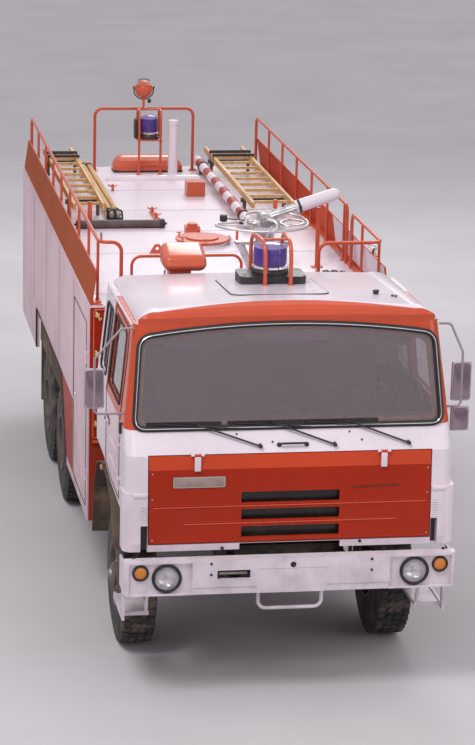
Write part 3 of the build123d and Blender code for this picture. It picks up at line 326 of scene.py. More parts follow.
# %% [markdown]
# Ageing of paint.
# Paint on a working truck fades unevenly, gathers mud near the ground and shows thin runs
# down its upright faces. Each is noise of its own size, and the runs are left out where
# the surface looks up, because they would read there as specks.

# %% Ageing of paint
ageing, given, result = new_group(
    "paint_ageing",
    [("Colour", "Color", (0.8, 0.8, 0.8, 1)), ("Dirt Colour", "Color", (0.16, 0.12, 0.10, 1)),
     ("Dirt", "Float", 0.5), ("Gloss Roughness", "Float", 0.25)],
    [("Colour", "Color"), ("Roughness", "Float"), ("Height", "Float")])
cloudy = ranged(ageing, noise(ageing, 1.4, 5), 0.35, 0.7, 0.90, 1.04)
streaky = noise(ageing, 1.0, 6, position(ageing, (14, 14, 0.9)))
height_here = wire(ageing, "SeparateXYZ", {0: position(ageing)}, out=2)
low_down = ranged(ageing, height_here, 1.9, 0.35)
speckle = ranged(ageing, noise(ageing, 7, 9), 0.42, 0.75)
near_ground = maths(ageing, "MULTIPLY", low_down, maths(ageing, "ADD", speckle, 0.35))
facing_up = wire(ageing, "SeparateXYZ", {0: wire(ageing, "TexCoord", out=1)}, out=2)
on_walls = ranged(ageing, maths(ageing, "ABSOLUTE", facing_up), 0.75, 0.35)
runs = maths(ageing, "MULTIPLY", ranged(ageing, streaky, 0.55, 0.8, 0, 0.35), on_walls)
dirt_mask = maths(ageing, "MULTIPLY", maths(ageing, "ADD", near_ground, runs),
                  given.outputs["Dirt"], clamp=True)
grey = wire(ageing, "CombineColor", {0: cloudy, 1: cloudy, 2: cloudy})
shaded = mixed(ageing, 1.0, given.outputs["Colour"], grey, "MULTIPLY")
ageing.links.new(mixed(ageing, dirt_mask, shaded, given.outputs["Dirt Colour"]), result.inputs["Colour"])
dulled = maths(ageing, "ADD", maths(ageing, "MULTIPLY", dirt_mask, 0.4), given.outputs["Gloss Roughness"])
patchy = maths(ageing, "ADD", dulled, maths(ageing, "MULTIPLY", noise(ageing, 22, 3), 0.10), clamp=True)
ageing.links.new(patchy, result.inputs["Roughness"])
peel = maths(ageing, "MULTIPLY", noise(ageing, 190, 2), 0.04)
waves = maths(ageing, "MULTIPLY", noise(ageing, 2.6, 2), 1.6)
ageing.links.new(maths(ageing, "ADD", peel, waves), result.inputs["Height"])

# %% [markdown]
# A painted zone.
# Where two colours meet on one sheet, the border is a box in space: a point belongs to the
# zone when it lies above the low corner and below the high one in all three directions.

# %% A painted zone
zone, given, result = new_group(
    "painted_zone",
    [("Ground", "Color", (0.8, 0.8, 0.8, 1)), ("Colour", "Color", (0.6, 0.05, 0.02, 1)),
     ("Low", "Vector", (0, 0, 0)), ("High", "Vector", (1, 1, 1))],
    [("Colour", "Color")])
above = wire(zone, "VectorMath", {0: position(zone), 1: given.outputs["Low"]}, operation="SUBTRACT")
below = wire(zone, "VectorMath", {0: given.outputs["High"], 1: position(zone)}, operation="SUBTRACT")
least = wire(zone, "VectorMath", {0: above, 1: below}, operation="MINIMUM")
parts = separate(zone, least)
inside = maths(zone, "MINIMUM", maths(zone, "MINIMUM", parts[0], parts[1]), parts[2])
edge_line = ranged(zone, inside, -0.0012, 0.0012)
painted = mixed(zone, edge_line, given.outputs["Ground"], given.outputs["Colour"])
zone.links.new(painted, result.inputs["Colour"])

# %% [markdown]
# Timber, metal and cloth.
# The ladders are varnished ash with long grain. Metal and rubber have stains of one size
# and a fine tooth. Seat cloth is two waves crossed, which is what a weave is.

# %% Timber
timber, given, result = new_group("timber", [("Pale", "Color", (0.62, 0.40, 0.16, 1)),
                                             ("Dark", "Color", (0.34, 0.19, 0.07, 1)),
                                             ("Wear", "Float", 0.5)],
                                  [("Colour", "Color"), ("Roughness", "Float"), ("Height", "Float")])
long_grain = noise(timber, 1.0, 8, position(timber, (55, 1.6, 55)))
grain = ranged(timber, long_grain, 0.35, 0.68)
scuff = maths(timber, "MULTIPLY", ranged(timber, noise(timber, 9, 6), 0.52, 0.7), given.outputs["Wear"])
wooden = mixed(timber, grain, given.outputs["Dark"], given.outputs["Pale"])
timber.links.new(mixed(timber, scuff, wooden, (0.55, 0.50, 0.44, 1)), result.inputs["Colour"])
timber.links.new(ranged(timber, long_grain, 0.3, 0.7, 0.62, 0.42), result.inputs["Roughness"])
timber.links.new(long_grain, result.inputs["Height"])

# %% Rough or plated metal
metal_skin, given, result = new_group("metal_skin",
                                      [("Colour", "Color", (0.5, 0.5, 0.5, 1)),
                                       ("Stain", "Color", (0.15, 0.10, 0.08, 1)), ("Stained", "Float", 0.3),
                                       ("Scale", "Float", 12.0), ("Base Roughness", "Float", 0.4)],
                                      [("Colour", "Color"), ("Roughness", "Float"), ("Height", "Float")])
spots = noise(metal_skin, given.outputs["Scale"], 7.0)
stains = maths(metal_skin, "MULTIPLY", ranged(metal_skin, spots, 0.45, 0.72), given.outputs["Stained"])
fine = noise(metal_skin, 260, 3)
stained = mixed(metal_skin, stains, given.outputs["Colour"], given.outputs["Stain"])
metal_skin.links.new(stained, result.inputs["Colour"])
rough = maths(metal_skin, "MULTIPLY", stains, 0.5)
rough = maths(metal_skin, "ADD", rough, given.outputs["Base Roughness"], clamp=True)
metal_skin.links.new(rough, result.inputs["Roughness"])
metal_skin.links.new(maths(metal_skin, "ADD", fine, spots), result.inputs["Height"])

# %% Woven cloth
cloth, given, result = new_group("woven_cloth", [("Warp", "Color", (0.06, 0.06, 0.07, 1)),
                                                 ("Weft", "Color", (0.12, 0.11, 0.12, 1)),
                                                 ("Threads", "Float", 420.0)],
                                 [("Colour", "Color"), ("Roughness", "Float"), ("Height", "Float")])
threads = {"Vector": position(cloth), "Scale": given.outputs["Threads"]}
wave_x, wave_y, wave_z = (wire(cloth, "TexWave", threads, out=1, bands_direction=axis) for axis in "XYZ")
weave = maths(cloth, "ADD", maths(cloth, "MULTIPLY", wave_x, wave_y), maths(cloth, "MULTIPLY", wave_z, 0.5))
cloth.links.new(mixed(cloth, weave, given.outputs["Warp"], given.outputs["Weft"]), result.inputs["Colour"])
cloth.links.new(ranged(cloth, noise(cloth, 14, 4), 0.3, 0.7, 0.78, 0.95), result.inputs["Roughness"])
cloth.links.new(weave, result.inputs["Height"])
print(len(bpy.data.node_groups), "shared groups")


# %% [markdown]
# Materials from groups.
# A material keeps its own shader. It places the groups that it needs, gives them its
# values, and wires what they put out to the shader's sockets.

# %% Materials from groups
def new_material(name, **constants):
    """Material with a Principled shader whose constant values stand on its own sockets."""
    made = bpy.data.materials.new(name)
    made.use_nodes = True
    shader = made.node_tree.nodes["Principled BSDF"]
    for label, value in constants.items():
        shader.inputs[label.replace("_", " ").title().replace("Ior", "IOR")].default_value = value
    return made, made.node_tree, shader


def use(tree, source, **values):
    """A group placed in a material with its own values."""
    node = tree.nodes.new("ShaderNodeGroup")
    node.node_tree = source
    for label, value in values.items():
        socket = node.inputs[label.replace("_", " ")]
        if isinstance(value, bpy.types.NodeSocket):
            tree.links.new(value, socket)
        else:
            socket.default_value = value
    return node


def cover(tree, shader, skin, bump=0.1, depth=0.002):
    """Feed a shader from a group's colour, roughness and height."""
    tree.links.new(skin.outputs["Colour"], shader.inputs["Base Color"])
    tree.links.new(skin.outputs["Roughness"], shader.inputs["Roughness"])
    relief = wire(tree, "Bump", {"Height": skin.outputs["Height"], "Strength": bump, "Distance": depth})
    tree.links.new(relief, shader.inputs["Normal"])


WHITE = (0.76, 0.670, 0.740, 1)
# White tinted pink by painted warm bounce light, used on the doors and the body's sides.
BOUNCE_LIT_WHITE = (0.73, 0.545, 0.600, 1)
ORANGE = (0.56, 0.073, 0.027, 1)
BRIGHT_ORANGE = (0.58, 0.100, 0.045, 1)
FLAP_RED = (0.37, 0.021, 0.004, 1)
# A lighter red used as painted highlight: along the flap's pressed ribs and its top band.
FLAP_HIGHLIGHT_RED = (0.60, 0.065, 0.022, 1)
# The orange painted darker and browner, as painted shade on the side boards' outer face.
SHADED_ORANGE = (0.38, 0.070, 0.013, 1)
# Near black used as painted shade: behind slots, in recesses and inside the cab, doors and body.
PAINTED_SHADE = (0.012, 0.010, 0.011, 1)


def paint(name, colour, zones=(), dirt=0.45, gloss=0.22, wedge=None, coat=0.25, shine=0.4):
    """Coach paint; zones are (colour, low corner, high corner) painted over it in order."""
    made, tree, shader = new_material(name, coat_weight=coat, coat_roughness=0.08, specular_ior_level=shine)
    ground = colour
    for over, low, high in zones:
        ground = use(tree, zone, Ground=ground, Colour=over, Low=spot(low), High=spot(high)).outputs["Colour"]
    if wedge:
        ground = wedge(tree, ground)
    cover(tree, shader, use(tree, ageing, Colour=ground, Dirt=dirt, Gloss_Roughness=gloss), 0.05)
    return made


# %% [markdown]
# Two colours.
# The cab is white up to its belt and orange above it, back to a border on the side. What
# lies behind slots, inside the doors and under the floor is painted near black, as painted shade.

# %% Two-colour paints
FAR = 20          # beyond the truck, where a zone has no border
BELT = 2.045      # height of the border along the cab
white_paint = paint("white_coach_paint", WHITE)
orange_paint = paint("orange_tube_paint", ORANGE, dirt=0.25, gloss=0.30)
# The flap's band above 1.767 m is painted lighter red, a painted highlight along its top.
flap_paint = paint("red_flap_paint_with_highlight", FLAP_RED, dirt=0.15, gloss=0.25, coat=0.08, shine=0.15,
                   zones=[(FLAP_HIGHLIGHT_RED, (-FAR, -FAR, 1.767), (FAR, FAR, FAR))])
# The ribs' lighter red is a painted highlight along the pressings.
flap_highlight_paint = paint("flap_rib_highlight_paint", FLAP_HIGHLIGHT_RED, dirt=0.1)
cab_paint = paint("cab_two_colour_paint_and_painted_shade", WHITE, shine=0.3, zones=[
    (ORANGE, (-FAR, -FAR, BELT), (FAR, 1.46, FAR)),
    # Painted shade, near black: behind the flap's slots, in the recesses beside its lower corners, and inside
    # the cab below the belt and under the floor.
    (PAINTED_SHADE, (-1.068, 0.152, 1.20), (1.068, 0.19, 1.872)),
    (PAINTED_SHADE, (-1.118, 0.17, 1.13), (-1.062, 0.31, 1.352)),
    (PAINTED_SHADE, (1.062, 0.17, 1.13), (1.118, 0.31, 1.352)),
    (PAINTED_SHADE, (-1.19, 0.30, 1.0), (1.19, 1.962, 2.06)),
])
# The doors' white is tinted pink by painted warm bounce light.
door_paint = paint("door_paint_with_painted_light", BOUNCE_LIT_WHITE, coat=0.08, shine=0.2, zones=[
    (ORANGE, (-FAR, -FAR, BELT), (FAR, FAR, FAR)),
    # Painted shade, near black: the doors' inner faces below the belt.
    (PAINTED_SHADE, (-1.195, -FAR, 1.0), (1.195, FAR, BELT)),
])
print(len(bpy.data.materials), "materials so far")

# %% [markdown]
# Two places have a border that isn't a box.
# On the cab's roof the orange runs back from the screen in a shallow arc, so its mask is
# a height over the curve y = 0.53 - 0.07 x². The deck's side boards lean inwards, so
# their outer and inner face are told apart by a slope.

# %% Curved and sloping borders
DECK = 2.457            # height of the deck's top
BOARD_LEAN = 0.1413     # the boards lean in by this much of their height


def roof_arc(tree, ground):
    """White behind an arc across the roof."""
    x, y, _ = separate(tree, position(tree))
    bow = maths(tree, "MULTIPLY", maths(tree, "MULTIPLY", x, x), 0.07)
    behind = maths(tree, "ADD", y, bow)
    mask = ranged(tree, behind, FRONT + 0.529, FRONT + 0.531)
    return mixed(tree, mask, ground, WHITE)


def board_faces(tree, ground):
    """Painted shade on the boards' leaning outer face, the orange made darker and browner there; white on the
    inner one above its foot.
    """
    x, y, z = separate(tree, position(tree))
    lean = maths(tree, "MULTIPLY_ADD", z, BOARD_LEAN)
    lean.node.inputs[2].default_value = -BOARD_LEAN * DECK
    across = maths(tree, "ADD", maths(tree, "ABSOLUTE", x), lean)
    outer = ranged(tree, across, 1.2290, 1.2300)
    back = ranged(tree, y, FRONT + 2.489, FRONT + 2.491)
    inner = maths(tree, "MULTIPLY", ranged(tree, across, 1.2230, 1.2224), ranged(tree, z, 2.496, 2.498))
    near = ranged(tree, y, FRONT + 4.61, FRONT + 4.60)
    shaded_outer_face = mixed(tree, maths(tree, "MULTIPLY", outer, back), ground, SHADED_ORANGE)
    return mixed(tree, maths(tree, "MULTIPLY", maths(tree, "MULTIPLY", inner, near), back), shaded_outer_face, WHITE)


roof_paint = paint("cab_roof_paint", ORANGE, gloss=0.16, dirt=0.12, wedge=roof_arc)
# The body's white is tinted pink by painted warm bounce light.
body_paint = paint("body_side_paint_with_painted_light", BOUNCE_LIT_WHITE, coat=0.05, shine=0.15, gloss=0.4, zones=[
    (FLAP_RED, (-FAR, 3.62, 0.70), (FAR, 4.90, 1.36)),
    (FLAP_RED, (-1.2385, 2.3, 0.62), (1.2385, 2.53, 2.5)),
    # Painted shade, near black: inside the shell behind the lower locker.
    (PAINTED_SHADE, (-1.19, 2.56, 0.62), (1.19, 3.58, 1.50)),
])
deck_paint = paint("deck_paint", WHITE, dirt=0.5, gloss=0.3)
board_paint = paint("side_board_paint_with_painted_shade", ORANGE, dirt=0.3, gloss=0.5, coat=0.0, shine=0.1, wedge=board_faces)
fitting_paint = paint("roof_fitting_paint", BRIGHT_ORANGE, dirt=0.25, gloss=0.3)
yellow_paint = paint("yellow_fixing_paint", (0.66, 0.48, 0.20, 1), dirt=0.4)
trim_paint = paint("dark_red_trim", (0.09, 0.012, 0.008, 1), dirt=0.1)
inner_paint = paint("inner_frame_paint", (0.42, 0.17, 0.05, 1), dirt=0.2)
cover_paint = paint("hinge_cover_white", WHITE, dirt=0.2)
print("painted borders ready")

# %% [markdown]
# Metal, rubber and plastic.
# These differ only in colour, stain and tooth, so one function makes them all. Grey and
# black paint on the chassis is so dusty that it is made this way too, with no metal in it.

# %% Metal, rubber and plastic
def metal(name, colour, stain, stained, rough, bump=0.15, metallic=1.0, scale=12.0):
    """Material of the metal group; metallic is 0 for rubber, plastic and dusty paint."""
    made, tree, shader = new_material(name, metallic=metallic)
    cover(tree, shader, use(tree, metal_skin, Colour=colour, Stain=stain, Stained=stained,
                            Base_Roughness=rough, Scale=scale), bump, 0.001)
    return made


chassis_paint = metal("chassis_black", (0.035, 0.028, 0.026, 1),
                      (0.17, 0.115, 0.085, 1), 0.9, 0.6, 0.3, 0.0, 6)
guard_paint = metal("dusty_mudguard", (0.075, 0.052, 0.042, 1), (0.26, 0.17, 0.12, 1), 0.9, 0.7, 0.3, 0.0, 4)
rim_paint = metal("rim_paint", (0.15, 0.115, 0.105, 1), (0.10, 0.065, 0.05, 1), 0.8, 0.55, 0.2, 0.0, 9)
plate_paint = metal("brushed_plate", (0.30, 0.22, 0.20, 1), (0.16, 0.10, 0.09, 1), 0.5, 0.5, 0.2, 0.0, 20)
arm_paint = metal("mirror_arm_paint", (0.42, 0.37, 0.39, 1), (0.20, 0.16, 0.15, 1), 0.4, 0.35, 0.1, 0.2, 20)
cast_metal = metal("cast_aluminium", (0.60, 0.58, 0.59, 1), (0.22, 0.19, 0.18, 1), 0.5, 0.38, 0.4)
bright_metal = metal("plated_metal", (0.80, 0.78, 0.80, 1), (0.30, 0.26, 0.25, 1), 0.25, 0.16, 0.05)
steel_metal = metal("worn_steel", (0.36, 0.34, 0.34, 1), (0.18, 0.09, 0.05, 1), 0.55, 0.42, 0.25)
pin_metal = metal("zinc_plated_bolts", (0.55, 0.53, 0.50, 1), (0.20, 0.12, 0.07, 1), 0.4, 0.35, 0.1, scale=60)
plastic = metal("black_plastic", (0.020, 0.018, 0.020, 1), (0.09, 0.07, 0.07, 1), 0.35, 0.42, 0.2, 0.0, 20)
dash_plastic = metal("dashboard_plastic", (0.055, 0.050, 0.052, 1),
                     (0.12, 0.10, 0.10, 1), 0.3, 0.55, 0.5, 0.0, 30)
rubber = metal("seal_rubber", (0.012, 0.011, 0.012, 1), (0.07, 0.06, 0.055, 1), 0.35, 0.62, 0.2, 0.0, 25)
tyre_rubber = metal("tyre_rubber", (0.022, 0.020, 0.021, 1), (0.20, 0.15, 0.125, 1), 0.75, 0.68, 0.35, 0.0, 7)
pipe_rubber = metal("suction_hose_rubber", (0.075, 0.048, 0.052, 1),
                    (0.20, 0.14, 0.14, 1), 0.5, 0.45, 0.2, 0.0, 20)
seat_cloth, tree, shader = new_material("seat_cloth")
cover(tree, shader, use(tree, cloth, Warp=(0.05, 0.045, 0.05, 1),
                        Weft=(0.12, 0.105, 0.11, 1), Threads=300.0), 0.35)

ladder_wood, tree, shader = new_material("varnished_ash", coat_weight=0.15, coat_roughness=0.25)
cover(tree, shader, use(tree, timber, Pale=(0.72, 0.44, 0.16, 1),
                        Dark=(0.42, 0.23, 0.07, 1), Wear=0.4), 0.35, 0.001)

# %% [markdown]
# Rings on the pole.
# The pole is marked red and white in bands of a quarter of a metre. A fraction of twice
# the length is above one half on every other band.

# %% Rings on the pole
striped, tree, shader = new_material("red_and_white_rings", coat_weight=0.2)
along = separate(tree, position(tree))[1]
pulse = maths(tree, "GREATER_THAN", maths(tree, "FRACT", maths(tree, "MULTIPLY", along, 2.0)), 0.5)
ringed = mixed(tree, pulse, WHITE, FLAP_RED)
cover(tree, shader, use(tree, ageing, Colour=ringed, Dirt=0.4, Gloss_Roughness=0.35))
print("finishes ready")

# %% [markdown]
# Glass and lenses.
# Window glass and lamp lenses let light through and carry a thin film of dust. Lenses have
# ribs that spread the light. The windscreen leans back and mirrors the sky, so it has a
# clear coat with a strong reflection over it.

# %% Glass and lenses
def lens(name, colour, rough=0.08, transmission=0.55, ribs=0.0, film_most=0.25):
    """Tinted clear plastic or glass with a faint dust film and, on lenses, ribs."""
    made, tree, shader = new_material(name, transmission_weight=transmission, ior=1.45)
    film = noise(tree, 9, 6)
    tint = mixed(tree, ranged(tree, film, 0.35, 0.8, 0, film_most), colour, (0.55, 0.50, 0.50, 1))
    tree.links.new(tint, shader.inputs["Base Color"])
    tree.links.new(ranged(tree, film, 0.3, 0.8, rough, rough + 0.5 * film_most), shader.inputs["Roughness"])
    if ribs:
        wave = wire(tree, "TexWave", {"Vector": position(tree), "Scale": ribs}, out=1, bands_direction="X")
        relief = wire(tree, "Bump", {"Height": wave, "Strength": 0.5, "Distance": 0.002})
        tree.links.new(relief, shader.inputs["Normal"])
    return made


screen_glass = lens("screen_glass", (0.78, 0.66, 0.72, 1), 0.01, 0.93, film_most=0.05)
side_glass = lens("side_glass", (0.80, 0.74, 0.78, 1), 0.01, 0.95, film_most=0.05)
sheen = screen_glass.node_tree.nodes["Principled BSDF"].inputs
sheen["Coat Weight"].default_value = 1.0
sheen["Coat IOR"].default_value = 1.75
sheen["Coat Roughness"].default_value = 0.01
clear_lens = lens("clear_lens", (0.94, 0.92, 0.94, 1), 0.02, 0.97, ribs=28.0, film_most=0.03)
amber_lens = lens("amber_lens", (0.85, 0.26, 0.02, 1), 0.12, 0.3, ribs=40.0)
red_lens = lens("red_lens", (0.55, 0.02, 0.02, 1), 0.12, 0.3, ribs=40.0)
blue_lens = lens("blue_lens", (0.085, 0.040, 0.30, 1), 0.08, 0.30, film_most=0.1)
# A paler violet used as painted highlight on the top of the beacons' domes.
cap_highlight_lens = lens("beacon_cap_highlight_lens", (0.34, 0.26, 0.60, 1), 0.10, 0.30, film_most=0.1)
mirror_frame = paint("mirror_frame_paint", (0.30, 0.25, 0.28, 1), dirt=0.2)
mirror_glass = metal("mirror_glass", (0.36, 0.27, 0.32, 1), (0.20, 0.14, 0.17, 1), 0.4, 0.10, 0.0)
print(len(bpy.data.materials), "materials")

# %% [markdown]
# Every CAD node gets the finish that the photograph shows on it.

# %% Finishes of the CAD nodes
WHEELS = [f"{axle}_{label}" for axle in ("front", "middle", "rear") for _, label in SIDES]
looks = {
    white_paint: ["pump_door", "front_bumper", "water_tank", "monitor_barrel"],
    cab_paint: ["cab_shell"], door_paint: ["door_left", "door_right"], roof_paint: ["cab_roof"],
    body_paint: ["body_shell", "locker_door_left", "locker_door_right"],
    deck_paint: ["deck"], board_paint: ["side_boards"], orange_paint: ["deck_rails"],
    flap_paint: ["front_flap"],
    fitting_paint: ["deck_fittings", "intake_snorkel", "manhole_lid", "rear_hatch",
                    "beacon_guard", "search_lamp"],
    chassis_paint: ["chassis_tube", "suspension", "frame_rails", "engine_block", "chassis_tanks",
                    "knuckle_left", "knuckle_right", "cab_floor"],
    guard_paint: ["mudguards"],
    rim_paint: ["rim_" + place for place in WHEELS],
    tyre_rubber: ["spare_tyre"] + ["tyre_" + place for place in WHEELS],
    cast_metal: ["monitor_base", "monitor_head"], mirror_frame: ["mirrors"],
    plastic: ["wipers", "beacon_base"], dash_plastic: ["dashboard"], pipe_rubber: ["suction_pipe"],
    screen_glass: ["cab_glass"], side_glass: ["door_glass_left", "door_glass_right"],
    clear_lens: ["headlamps"], amber_lens: ["marker_lamps"], blue_lens: ["roof_beacon", "rear_beacon"],
    ladder_wood: ["ladders"], striped: ["striped_pole"], seat_cloth: ["seats"],
}
finished = 0
for material, names in looks.items():
    for name in names:
        piece = nodes[name]
        piece.data.materials.clear()
        piece.data.materials.append(material)
        finished += 1
print(finished, "of", len(nodes), "nodes finished")

# %% [markdown]
# More starting shapes: a plate cut to an outline, used for badges, covers and panels,
# and a ring of bolts, which holds nearly everything on a truck.

# %% Plates and bolts
def plate(name, outline, push, edge=0.0):
    """Plate from a closed outline, pushed out along a vector, its edges bevelled."""
    data = bpy.data.meshes.new(name)
    data.from_pydata([spot(point) for point in outline], [], [tuple(range(len(outline)))])
    piece = bpy.data.objects.new(name, data)
    bpy.context.scene.collection.objects.link(piece)
    only(piece)
    bpy.ops.object.mode_set(mode="EDIT")
    bpy.ops.mesh.select_all(action="SELECT")
    bpy.ops.mesh.extrude_region_move(TRANSFORM_OT_translate={"value": push})
    bpy.ops.mesh.select_all(action="SELECT")
    bpy.ops.mesh.normals_make_consistent(inside=False)
    if edge:
        bpy.ops.mesh.bevel(offset=edge, segments=2, affect="EDGES", clamp_overlap=True)
    bpy.ops.object.mode_set(mode="OBJECT")
    return smooth(outwards(piece))


def rounded_rectangle(u0, u1, v0, v1, r, steps=5):
    """Corner points (u, v) of a rectangle with round corners."""
    points = []
    centres = ((u1 - r, v1 - r), (u0 + r, v1 - r), (u0 + r, v0 + r), (u1 - r, v0 + r))
    for (u, v), start in zip(centres, (0, 90, 180, 270)):
        for k in range(steps + 1):
            a = radians(start + 90 * k / steps)
            points.append((u + r * cos(a), v + r * sin(a)))
    return points


def corners(u0, u1, v0, v1):
    """The four corners (u, v) of a rectangle, in turn."""
    return (u0, v0), (u1, v0), (u1, v1), (u0, v1)


def bolts(name, places, direction, r=0.009, high=0.007, sides=6):
    """Bolt heads of the same kind at the places, as one piece."""
    rings = [(-0.002, r), (high * 0.8, r), (high, r * 0.8), (high * 1.15, r * 0.35)]
    first = turned(name, rings, None, direction, sides)
    heads = [copied(first, name, Matrix.Translation(spot(place))) for place in places]
    bpy.data.objects.remove(first)
    return join(name, heads)


# %% [markdown]
# Windscreen seal.
# The glass of such a cab is held by a rubber profile pressed round the opening, locked by
# a bright strip. Both follow the opening's outline, so both are bars along one path. Side
# windows have a plain seal, whose path follows the sides as they lean in towards the roof.

# %% Windscreen seal
def on_screen(x, z, out=0.0):
    """Point on the screen's plane, lifted out of it."""
    lean = 0.21235
    norm = (1 + lean * lean) ** 0.5
    return x, 0.260 + (z - 2.04) * lean - out / norm, z + out * lean / norm


def screen_path(grow=0.0, out=0.0, arcs=9):
    """The opening's outline: straight sides and an arched top."""
    low, top, side, head = 2.055 - grow, 2.706 + grow, 1.153 + grow, 1.103 + grow
    points = [on_screen(-side, low, out), on_screen(side, low, out)]
    for i in range(arcs + 1):
        x = head - 2 * head * i / arcs
        points.append(on_screen(x, top + 0.084 * (1 - (x / head) ** 2), out))
    return points


screen_seal = bar("screen_seal", screen_path(0.006, 0.002), 0.044, corner=0.09, closed=True, sides=12)
dress(screen_seal, rubber, "cab")
screen_strip = bar("screen_seal_strip", screen_path(0.004, 0.019), 0.011, corner=0.09, closed=True, sides=8)
dress(screen_strip, bright_metal, "cab")
print("screen seal", len(screen_seal.data.polygons), "faces")


# %% Side window seals
def cab_half(z):
    """Half width of the cab at height z."""
    return 1.230 - max(z - 2.040, 0) * 0.090 / 0.830


def window_seal(name, corners, side, body):
    """Seal round a side window whose corners are (station, height)."""
    path = [(side * (cab_half(z) + 0.001), y, z) for y, z in corners]
    return dress(bar(name, path, 0.018, corner=0.045, closed=True, sides=8), rubber, body)


door_glass_corners = [(0.640, 2.130), (1.340, 2.130), (1.340, 2.670), (0.690, 2.670)]
rear_glass_corners = corners(1.500, 1.850, 2.130, 2.650)
for side, label in SIDES:
    window_seal(f"door_window_seal_{label}", door_glass_corners, side, f"door_{label}")
    window_seal(f"rear_window_seal_{label}", rear_glass_corners, side, "cab")
print("side seals ready")

# %% [markdown]
# Head lamps.
# A pressed bowl silvered inside, a bulb, a ribbed lens and a rubber-edged rim. All are
# round, so each is turned from rings about the lamp's own axis, which points forwards.

# %% Head lamps
FORWARD, UP = (0, -1, 0), (0, 0, 1)
SIDE = 1.250      # the body's side sheets, from the middle plane


def lamp_set(here):
    """Bowl, bulb, lens and rim of one head lamp."""
    bowl = turned("bowl", [(-0.060, 0.001), (-0.060, 0.03), (-0.050, 0.062), (-0.02, 0.085), (0.005, 0.0935),
                           (0.008, 0.0905), (-0.018, 0.080), (-0.042, 0.055), (-0.053, 0.022),
                           (-0.053, 0.001)], here, FORWARD, 40)
    bulb = turned("bulb", [(-0.053, 0.011), (-0.020, 0.011), (-0.012, 0.008),
                           (-0.009, 0.002)], here, FORWARD, 16)
    glass = turned("glass", [(0.004, 0.0895), (0.008, 0.0895), (0.013, 0.075), (0.0165, 0.050),
                             (0.018, 0.022), (0.0185, 0.001)], here, FORWARD, 48)
    rim = turned("rim", [(0.0, 0.112), (0.013, 0.112), (0.0195, 0.107), (0.020, 0.098), (0.014, 0.091),
                         (0.0, 0.0905)], here, FORWARD, 48, closed=True)
    return bowl, bulb, glass, rim


bowls, glasses, rims = [], [], []
for x in (-0.934, 0.934):
    bowl, bulb, glass, rim = lamp_set((x, 0.020, 0.976))
    bowls += [bowl, bulb]
    glasses.append(glass)
    rims.append(rim)
lamp_bowls = dress(join("headlamp_bowls", bowls), bright_metal, "chassis")
dress(join("headlamp_lenses", glasses), clear_lens, "chassis")
dress(join("headlamp_rims", rims), rubber, "chassis")
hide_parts("headlamps")

# %% [markdown]
# Smaller lamps.
# The round indicators are turned like the head lamps. Side and tail lamps are small
# moulded blocks with soft edges, on a black housing at the rear.

# %% Indicators and side lamps
rings, domes = [], []
for x in (-1.129, 1.129):
    here = (x, 0.020, 1.022)
    rings.append(turned("ring", [(0.0, 0.062), (0.011, 0.062), (0.016, 0.058), (0.016, 0.051),
                                 (0.009, 0.0465), (0.0, 0.0465)], here, FORWARD, 36, closed=True))
    domes.append(turned("dome", [(-0.02, 0.046), (0.008, 0.046), (0.014, 0.036), (0.017, 0.018),
                                 (0.0175, 0.001)], here, FORWARD, 36))
for x in (-SIDE, SIDE):
    domes.append(block("side_lamp", (x - 0.008, 1.462, 1.377), (x + 0.008, 1.528, 1.408), 0.005, 3))
indicator_rings = dress(join("indicator_rings", rings), rubber, "chassis")
dress(join("indicator_lenses", domes), amber_lens, "chassis")
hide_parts("marker_lamps")

# %% Tail lamps
housings, reds, ambers = [], [], []
for side in (-1, 1):
    for x0, x1, group_of in ((0.963, 1.035, reds), (1.041, 1.120, ambers), (1.126, 1.197, reds)):
        group_of.append(block("tail_lens", (side * x0, 8.578, 1.016), (side * x1, 8.598, 1.094), 0.006, 3))
    housings.append(block("tail_housing", (side * 0.960, 8.568, 1.010), (side * 1.200, 8.586, 1.100), 0.004))
dress(join("tail_lamp_housings", housings), plastic, "chassis")
dress(join("tail_lenses_red", reds), red_lens, "chassis")
dress(join("tail_lenses_amber", ambers), amber_lens, "chassis")
print("lamps ready")

# %% [markdown]
# Tyres.
# A road tyre is a turned ring with a bulging side wall. Its tread has blocks on both
# shoulders and two rows in the middle. One tyre is modelled with its axle along X, and
# its copies stand where the CAD's plain tyres do.

# %% One tyre
def tread_row(name, count, at, size, lean, start=0.0):
    """Blocks of one row round the tyre, turned by lean about their own middle."""
    x, r = at
    blocks = []
    for i in range(count):
        bpy.ops.object.select_all(action="DESELECT")
        bpy.ops.mesh.primitive_cube_add(size=1, scale=size)
        lug = bpy.context.object
        around = Matrix.Rotation(2 * pi * (i + start) / count, 4, "X")
        lug.matrix_world = around @ Matrix.Translation((x, 0, r)) @ Matrix.Rotation(lean,
                                                                                    4, "Z") @ lug.matrix_world
        blocks.append(lug)
    return settle(join(name, blocks))


TYRE_PROFILE = [(-0.128, 0.2546), (-0.137, 0.262), (-0.1405, 0.286), (-0.1385, 0.292), (-0.1440, 0.34),
                (-0.1449, 0.40), (-0.1425, 0.452), (-0.1395, 0.456), (-0.1330, 0.500), (-0.124, 0.524),
                (-0.114, 0.5305)]
rings = TYRE_PROFILE + [(-x, r) for x, r in reversed(TYRE_PROFILE)]
tyre = turned("tyre", rings, None, (1, 0, 0), 72, closed=True)
rows = [tread_row("row", 46, (side * 0.098, 0.5335), (0.048, 0.046, 0.0165), side * 0.12, 0.5 * (side > 0))
        for side in (-1, 1)]
rows += [tread_row("row", 46, (side * 0.033, 0.5340), (0.044, 0.050, 0.0165), side * 0.5,
                   0.25) for side in (-1, 1)]
tyre = smooth(join("tyre", [tyre] + rows), 30)
print("one tyre has", len(tyre.data.polygons), "faces")

# %% Tyres in place
AXLE_HIGH = 0.5425
